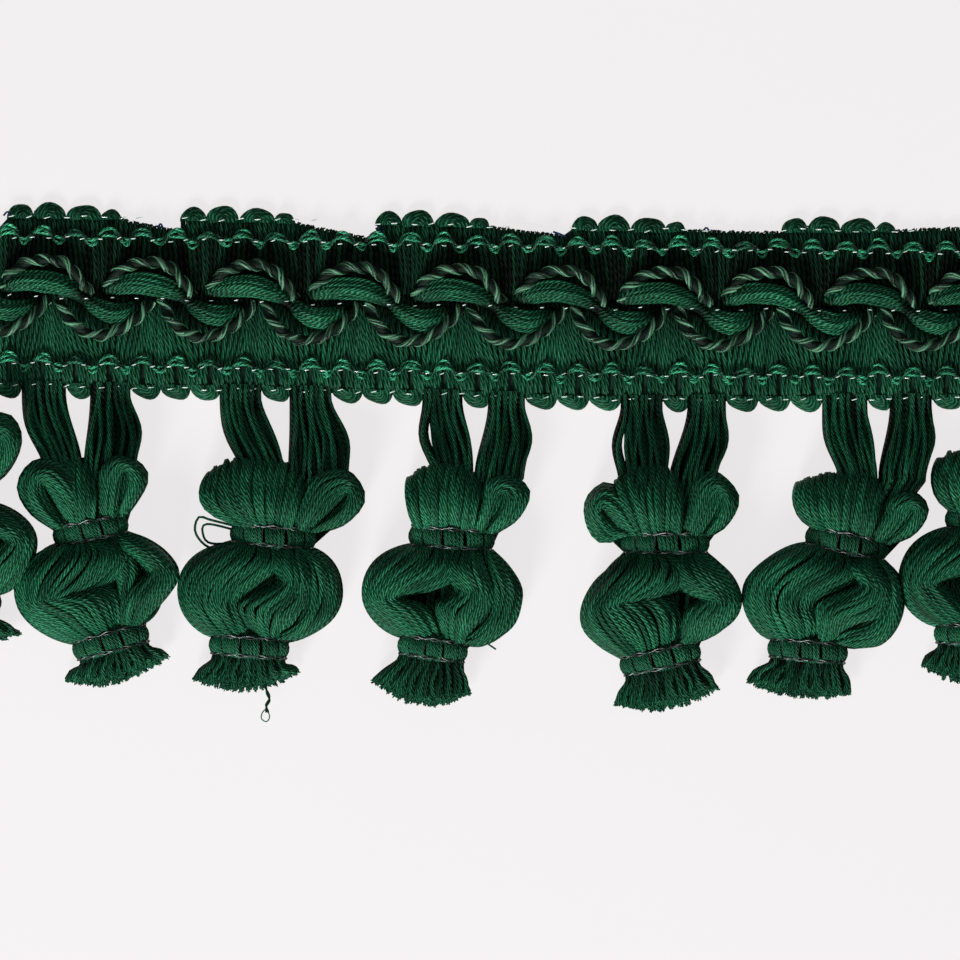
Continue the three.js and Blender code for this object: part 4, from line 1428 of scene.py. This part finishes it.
def fan_layers(tassel):
    """The head's three layers: one across its whole width at the back, darkened with painted shade, and two
    for its front.
    """
    fan, first, last = tassel["fan"], tassel["ears"][0], tassel["ears"][-1]
    before = first["rim"][:3] if first["tie"][0] < -0.4 else fan["edge"][:1]
    after = last["rim"][2:] if last["tie"][1] > 0.4 else []
    whole = [*before, *fan["edge"][1:], *after]
    half = HEAD_DEEP / 2
    return [
        dict(rim=whole, tie=(-0.95, 0.95), size=0.93, middle=3.6, deep=3.2, tint_and_shade=-0.9),
        dict(rim=fan["edge"], tie=fan["tie"], size=0.98, middle=half, deep=half - 0.5, tint_and_shade=0.0),
        dict(rim=fan["edge"], tie=fan["tie"], size=0.86, middle=half, deep=half + 0.1, tint_and_shade=0.05),
    ]


def head_fan(skein, tassel, yarn):
    """The head's yarns: up from the tie, turned over the crown and back behind."""
    tie = tassel["upper"]
    t = np.linspace(0, 1, FAN_POINTS)
    r = (np.sin(math.pi * t) ** 0.85)[:, None]
    for layer in fan_layers(tassel):
        (begin, end), size, middle = layer["tie"], layer["size"], layer["middle"]
        rim = through([np.array(p, float) for p in layer["rim"]], RIM_POINTS)
        run = np.diff(rim, axis=0)
        flat = np.abs(run[:, 0]) > 0.8 * np.abs(run[:, 1])
        crown = int(np.argmax(flat & (np.arange(RIM_POINTS - 1) >= np.argmin(rim[:, 0]))))
        start = on_tie(tie, begin * HEAD_GRIP, -HALF_TIE * 0.8)
        bulge = rim[crown // 2] - (start + rim[crown]) / 2 if crown > 3 else np.zeros(2)
        share = run_along(rim[crown:])
        total = max(5, int((share[-1] * PX * size + 1.5) / (yarn * 0.8)))
        for i in range(total):
            a = (i + 0.5) / total
            at = np.interp(a * share[-1], share, np.arange(crown, RIM_POINTS))
            rim_place = np.array([np.interp(at, np.arange(RIM_POINTS), rim[:, k]) for k in (0, 1)])
            root = on_tie(tie, (begin + (end - begin) * a) * HEAD_GRIP, -HALF_TIE * 0.8)
            tip = root + (rim_place - root) * size * (1 + skein.spread(0.03))
            bend = (root + tip) / 2 + 2 * bulge * (1 - a) ** 2 * size
            line = root * (1 - r) ** 2 + bend * 2 * r * (1 - r) + tip * r**2
            swell = swelling(below(tie, line, -1) - HALF_TIE + 2, 24)
            half = NECK + (layer["deep"] - NECK) * swell
            z = UPPER_TIE_Z + (middle - UPPER_TIE_Z) * swell + half * np.cos(math.pi * t)
            z = np.maximum(z + skein.spread(0.3), yarn / 2)
            line = line + (1.0 * np.sin(t * 8 + i * 2.3))[:, None] * np.array([1.0, 0.4])
            thick = yarn * (0.84 + 0.16 * swell)
            skein.add(mm(np.column_stack([line, z])), thick, skein.spread(0.8) + layer["tint_and_shade"])


def ear(skein, tassel, puff, yarn):
    """A puff at the head's side: yarns curled round a hollow, out of the tie and back into it."""
    tie = tassel["upper"]
    first, last = puff["tie"]
    x, y, r = puff["hollow"]
    begin, end = (on_tie(tie, f * HEAD_GRIP, -HALF_TIE * 0.8) for f in (first, last))
    outer = through([begin, *map(np.array, puff["rim"]), end], EAR_POINTS)
    round_it = ((-0.8, 0.7), (-0.9, -0.3), (0.0, -1.0), (0.9, -0.3), (0.8, 0.7))
    sides = [np.array([x, y], float) + 0.5 * r * np.array(v) for v in round_it]
    split = puff.get("split", 0.8)
    roots = [on_tie(tie, first + (last - first) * (split + d), -HALF_TIE * 0.8) for d in (-0.04, 0.04)]
    inner = through([roots[0], *sides, roots[1]], EAR_POINTS)
    t = np.linspace(0, 1, EAR_POINTS)
    wide = np.linalg.norm(outer - inner, axis=1).max() * PX / 2
    deep = HEAD_DEEP / 2 - 0.5
    for i, (turn, size) in enumerate(round_turns(wide, deep, yarn, 0.86)):
        turn = turn + skein.spread(0.05)
        line = outer + (inner - outer) * (0.5 - 0.48 * math.cos(turn))
        swell = swelling(below(tie, line, -1) - HALF_TIE + 1, 24)
        line = line + (0.7 * np.sin(t * 9 + i * 2.7))[:, None] * np.array([1.0, 0.5])
        z = HEAD_DEEP / 2 + (NECK + (deep - NECK) * swell) * fullness(turn) + skein.spread(0.2)
        thick = yarn * (0.84 + 0.14 * swell) * size
        skein.add(mm(np.column_stack([line, np.maximum(z, thick / 2)])), thick, skein.spread(0.8))


def legs(skein, tassel, yarn):
    """The two legs: yarns side by side in layers, from under the heading into the head."""
    left, middle, right, low = tassel["leg_in"]
    heart_x, heart_y = tassel["upper"][:2]
    slit_leg, slit_at, slit_wide = tassel.get("slit", (None, 0, 0))
    t = np.linspace(0, 1, LEG_POINTS)
    over = np.clip((t - 0.12) / 0.88, 0, 1)
    over = over * over * (3 - 2 * over)
    bowed = np.sin(math.pi * over)
    sunk = np.linspace(0.2, 1, 4)
    for leg, ((a, b), (c, d)) in enumerate(zip(tassel["legs"], ((left, middle), (middle, right)))):
        for layer in LEG_LAYERS:
            size, tint_and_shade = layer["size"], layer["tint_and_shade"]
            for i in range(layer["yarns"]):
                u = (i + 0.5 + (skein.spread(layer["jitter"]) if layer["jitter"] else 0.0)) / layer["yarns"]
                top_x = a + 2 + (b - a - 4) * u
                end_x = c + 2 + (d - c - 4) * u
                top_y = row("low_stitch", top_x) - 4
                x = top_x + (end_x - top_x) * over + (6 * u - 6 if leg == 0 else 6 * u) * bowed
                if leg == slit_leg:
                    x = x + slit_wide * (-0.5 if u < slit_at else 0.5) * bowed
                x = x + layer["sway"] * np.sin(math.pi * t) * np.sin(t * 4 + i * 2.3 + tint_and_shade)
                y = top_y + (low + 6 - top_y) * t
                z = 0.85 + layer["low"] + (3.0 + layer["high"]) * over + skein.spread(0.3)
                x = np.concatenate([x, end_x + (heart_x - end_x) * 0.6 * sunk])
                y = np.concatenate([y, low + 6 + (heart_y - 12 - low) * sunk])
                z = np.concatenate([z, z[-1] - 0.6 * sunk])
                place = np.column_stack([x, y, np.maximum(z, yarn * size / 2)])
                # Painted shade on the legs' tops, just under the edge of the heading.
                painted_shade = np.where(np.arange(len(x)) < 4, -0.6, 0.0)
                skein.add(mm(place), yarn * size, skein.spread(0.7) + tint_and_shade + painted_shade)


def frayed_end(tufts, line):
    """Single fibres that stand out of a yarn's cut end."""
    end = line[-1]
    ahead = end - line[-2]
    ahead = ahead / np.linalg.norm(ahead[:2])
    for _ in range(TUFTS):
        aside = np.array([tufts.spread(2.2), tufts.spread(1.1), tufts.spread(0.4)])
        out = end + aside + ahead * tufts.chance.uniform(0.5, 1.7)
        tuft = np.vstack([end + aside * 0.5 - ahead * 3.0, (end + out) / 2 + aside * 0.2, out])
        tuft[:, 2] = np.maximum(tuft[:, 2], 0.2)
        tufts.add(mm(tuft), tufts.chance.uniform(0.16, 0.28), tufts.spread(1.0) - 0.1)


def skirt(skein, tufts, tassel, yarn):
    """The skirt: cut yarns fanned below the lower tie, shorter in front, with frayed cut ends."""
    tie = tassel["lower"]
    left, right, low = (np.array(p, float) for p in tassel["skirt"])
    chord = np.interp(low[0], [left[0], right[0]], [left[1], right[1]])
    half = SKIRT_DEEP / 2
    for layer in SKIRT_LAYERS:
        for i in range(layer["yarns"]):
            f = 2 * (i + 0.5) / layer["yarns"] - 1 + skein.spread(0.03)
            depth = min(0.97, max(0.0, layer["depth"] + skein.spread(0.13)))
            narrow = 1 - 0.06 * abs(depth - 0.5)
            tip = left + (right - left) * (f * narrow + 1) / 2
            tip = tip + np.array([0.0, (low[1] - chord) * (1 - f * f)])
            root, bend = on_tie(tie, f * 0.86, HALF_TIE * 0.5), on_tie(tie, f * 0.9, HALF_TIE + 5)
            short = layer["short"] * (1 - f**4) + 2.5 + skein.spread(1.6)
            tip = tip + (root - tip) / np.linalg.norm(root - tip) * short
            front = 1 - depth * 2
            root_z = LOWER_TIE_Z + NECK * front * math.sqrt(max(0.0, 1 - 0.8 * f * f))
            tip_z = half + (half - 0.5) * front * math.sqrt(max(0.0, 1 - 0.55 * f * f))
            sway = (bend + tip) / 2 + np.array([skein.spread(4.2), skein.spread(1.4)])
            heights = [root_z, (root_z + tip_z) / 2, (root_z + 3 * tip_z) / 4, tip_z]
            line = through(lift([root, bend, sway, tip], heights), SKIRT_POINTS)
            line[:, 2] = np.maximum(line[:, 2] + skein.spread(0.15), yarn / 2)
            # Painted shade at the skirt's root under the tie, fading to a lighter cut end that catches the
            # light.
            tint_and_shade = skein.spread(0.7) - 1.5 + 1.2 * np.linspace(0, 1, SKIRT_POINTS)
            skein.add(mm(line), yarn * np.linspace(0.78, 0.92, SKIRT_POINTS), tint_and_shade)
            frayed_end(tufts, line)


def loose_ends(skein, tassel):
    """Yarns that have slipped out: small loops at a tie, a twisted tail, a broken end."""
    for end in tassel.get("loose", []):
        path = through(end["line"], LOOSE_POINTS)
        for side in end.get("sides", [0]):
            aside = side * end["thick"] / PX * 0.5 * np.cos(np.linspace(0, 16, LOOSE_POINTS))
            line = path + np.column_stack([aside, np.zeros(LOOSE_POINTS)])
            skein.add(mm(lift(line, end["z"])), end["thick"], end["tint_and_shade"] + skein.spread(0.2))


def filling(skein, tassel):
    """Yarn inside the body, painted dark as shade, seen only through its gaps."""
    upper, lower, fan = tassel["upper"], tassel["lower"], tassel["fan"]
    outers = [x for fold in tassel["folds"] for x, _ in fold["outer"]]
    left, right = min(outers), max(outers)
    for f in np.linspace(-0.6, 0.6, 5):
        middle = (left + right) / 2 + f * (right - left) * 0.36
        belly = [on_tie(upper, f, -4), (middle, (upper[1] + lower[1]) / 2), on_tie(lower, f, 4)]
        thick = 2.6 + 2.4 * np.sin(np.linspace(0, math.pi, BELLY_POINTS))
        skein.add(mm(lift(through(belly, BELLY_POINTS), 2.9)), thick)
    for puff in tassel["ears"]:
        root = on_tie(upper, sum(puff["tie"]) / 2, 2)
        line = through([root, puff["hollow"][:2]], FILLING_POINTS)
        skein.add(mm(lift(line, 3.2)), np.linspace(3.0, 4.4, FILLING_POINTS))
    xs = [x for x, _ in fan["edge"]]
    crown = [on_tie(upper, sum(fan["tie"]) / 2, 2), (sum(xs) / len(xs), fan["edge"][1][1])]
    line = through(crown, FILLING_POINTS)
    skein.add(mm(lift(line, 3.2)), np.linspace(3.0, 4.8, FILLING_POINTS))


class TRIM_OT_tassels(Operator):
    """Make the tassels: legs, head, onion and skirt, yarn by yarn"""

    bl_idname = "trim.tassels"
    bl_label = "Tassels"

    def execute(self, context):
        yarns, colours = context.scene.trim_yarns, context.scene.trim_colours
        look = yarn_material("tassel yarn", tuple(colours.yarn))
        # Cut ends are painted a little lighter than the yarn, as the cut face catches the light.
        frayed = yarn_material("cut end", shade(tuple(colours.yarn), 1.1), plies=1, spacing=0.4)
        dark = shaded_inner_material()
        yarn = yarns.yarn / MM
        for k, tassel in enumerate(TASSELS):
            skein, tufts = Skein(yarns.seed + SEEDS["tassels"] + k), Skein(yarns.seed + SEEDS["tufts"] + k)
            inside = Skein()
            legs(skein, tassel, yarn)
            head_fan(skein, tassel, yarn)
            for puff in tassel["ears"]:
                ear(skein, tassel, puff, yarn)
            for fold in [backing(tassel), *tassel["folds"]]:
                onion_fold(skein, tassel, fold, yarn)
            skirt(skein, tufts, tassel, yarn)
            loose_ends(skein, tassel)
            filling(inside, tassel)
            settle(skein.strands(f"tassel_{k}_yarns", look, 5), "tassel_yarn", f"tassel_{k}")
            settle(tufts.strands(f"tassel_{k}_cut_ends", frayed, 3), "tassel_yarn")
            settle(inside.strands(f"tassel_{k}_inside", dark, 10), "tassel_yarn")
        return {"FINISHED"}


# Ties

CELLS, YARNS_IN_CELL = 11, 5
CELL_YARN = 0.66
ROUND_POINTS = 90  # of an edge thread, once round the tie
EDGE_THREAD, CROSS_THREAD = 0.32, 0.3  # along the tie's edges, and across it between cells

# A cell's yarn across the tie: place along the skein, as a share of half the tie, and how far out

CELL_YARN_LINE = [(-1.0, -0.5), (-0.72, 0.15), (-0.3, 0.6), (0.3, 0.6), (0.72, 0.15), (1.0, -0.5)]


def round_tie(tie, z, angle, out, drop):
    """A place round the skein at a tie: angle 0 faces the viewer."""
    half_wide = tie[2] * PX - 1.0 + out
    half_deep = NECK_DEEP / 2 + 0.1 + out
    middle = on_tie(tie, half_wide / (tie[2] * PX) * math.sin(angle), drop / PX)
    return (*middle, max(0.35, z + half_deep * math.cos(angle)))


def bind(cells, threads, tie, z):
    """One tie: short yarns in cells round the skein, held by thin threads along both edges."""
    reach = TIE_LONG / 2
    size = 2 * math.pi / CELLS
    starts = [size * (cell - 0.5) for cell in range(CELLS)]
    for start in starts:
        cell_tint = cells.spread(0.5) + 0.2
        for j in range(YARNS_IN_CELL):
            share = (j + 0.5) / YARNS_IN_CELL
            angle = start + size * (0.08 + 0.84 * share)
            puff = 0.5 + 0.5 * math.sin(math.pi * (0.1 + 0.8 * share))
            line = [
                round_tie(tie, z, angle + 0.02 * i, out * puff, along * reach)
                for i, (along, out) in enumerate(CELL_YARN_LINE)
            ]
            cells.add(mm(through(line, 8)), CELL_YARN, cell_tint + cells.spread(0.4))
    turns = np.linspace(0, 2 * math.pi, ROUND_POINTS)
    for drop in (-reach * 0.84, reach * 0.84):
        for lag in (0.0, 0.5):
            wander = 0.16 * np.sin(CELLS * turns + lag * 5 + drop) + lag * 0.28 - 0.07
            outs = 0.4 + 0.2 * np.cos(CELLS * turns) - 0.1 * lag
            line = [round_tie(tie, z, a, o, drop + w) for a, o, w in zip(turns, outs, wander)]
            threads.add(mm(line), EDGE_THREAD)
    for start in starts:
        line = [round_tie(tie, z, start, 0.12, d) for d in np.linspace(-reach * 0.8, reach * 0.8, 5)]
        threads.add(mm(line), CROSS_THREAD)


class TRIM_OT_ties(Operator):
    """Bind the tassels: two ties on each, of yarn cells between thin threads"""

    bl_idname = "trim.ties"
    bl_label = "Ties"

    def execute(self, context):
        yarns, colours = context.scene.trim_yarns, context.scene.trim_colours
        look = yarn_material("binding yarn", shade(tuple(colours.yarn), 0.9), spacing=0.6)
        thread = thread_material()
        for k, tassel in enumerate(TASSELS):
            for level, z in (("upper", UPPER_TIE_Z), ("lower", LOWER_TIE_Z)):
                cells, threads = Skein(yarns.seed + SEEDS["ties"] + k), Skein()
                bind(cells, threads, tassel[level], z)
                node = f"tie_{level}_{k}"
                settle(cells.strands(node + "_cells", look, 5), "tie_thread", node)
                settle(threads.strands(node + "_threads", thread, 4), "tie_thread")
        return {"FINISHED"}


# Panel


class TRIM_PT_panel(Panel):
    """The trim's sizes, colours and steps, in order"""

    bl_idname = "TRIM_PT_panel"
    bl_label = "Onion Tassel Fringe"
    bl_space_type = "VIEW_3D"
    bl_region_type = "UI"
    bl_category = "Trim"

    def draw(self, context):
        for group in (context.scene.trim_yarns, context.scene.trim_colours):
            box = self.layout.box()
            for name in group.bl_rna.properties.keys():
                if name not in ("rna_type", "name"):
                    box.prop(group, name)
        for step in STEPS:
            self.layout.operator(step.bl_idname)


STEPS = (TRIM_OT_stage, TRIM_OT_heading, TRIM_OT_chains, TRIM_OT_scroll, TRIM_OT_tassels, TRIM_OT_ties)
CLASSES = (TrimYarns, TrimColours, *STEPS, TRIM_PT_panel)


def register():
    for part in CLASSES:
        bpy.utils.register_class(part)
    bpy.types.Scene.trim_yarns = PointerProperty(type=TrimYarns)
    bpy.types.Scene.trim_colours = PointerProperty(type=TrimColours)


def unregister():
    del bpy.types.Scene.trim_yarns
    del bpy.types.Scene.trim_colours
    for part in reversed(CLASSES):
        bpy.utils.unregister_class(part)


def main():
    register()
    bpy.ops.trim.stage()
    bpy.ops.trim.heading()
    bpy.ops.trim.chains()
    bpy.ops.trim.scroll()
    bpy.ops.trim.tassels()
    bpy.ops.trim.ties()


if __name__ == "__main__":
    main()
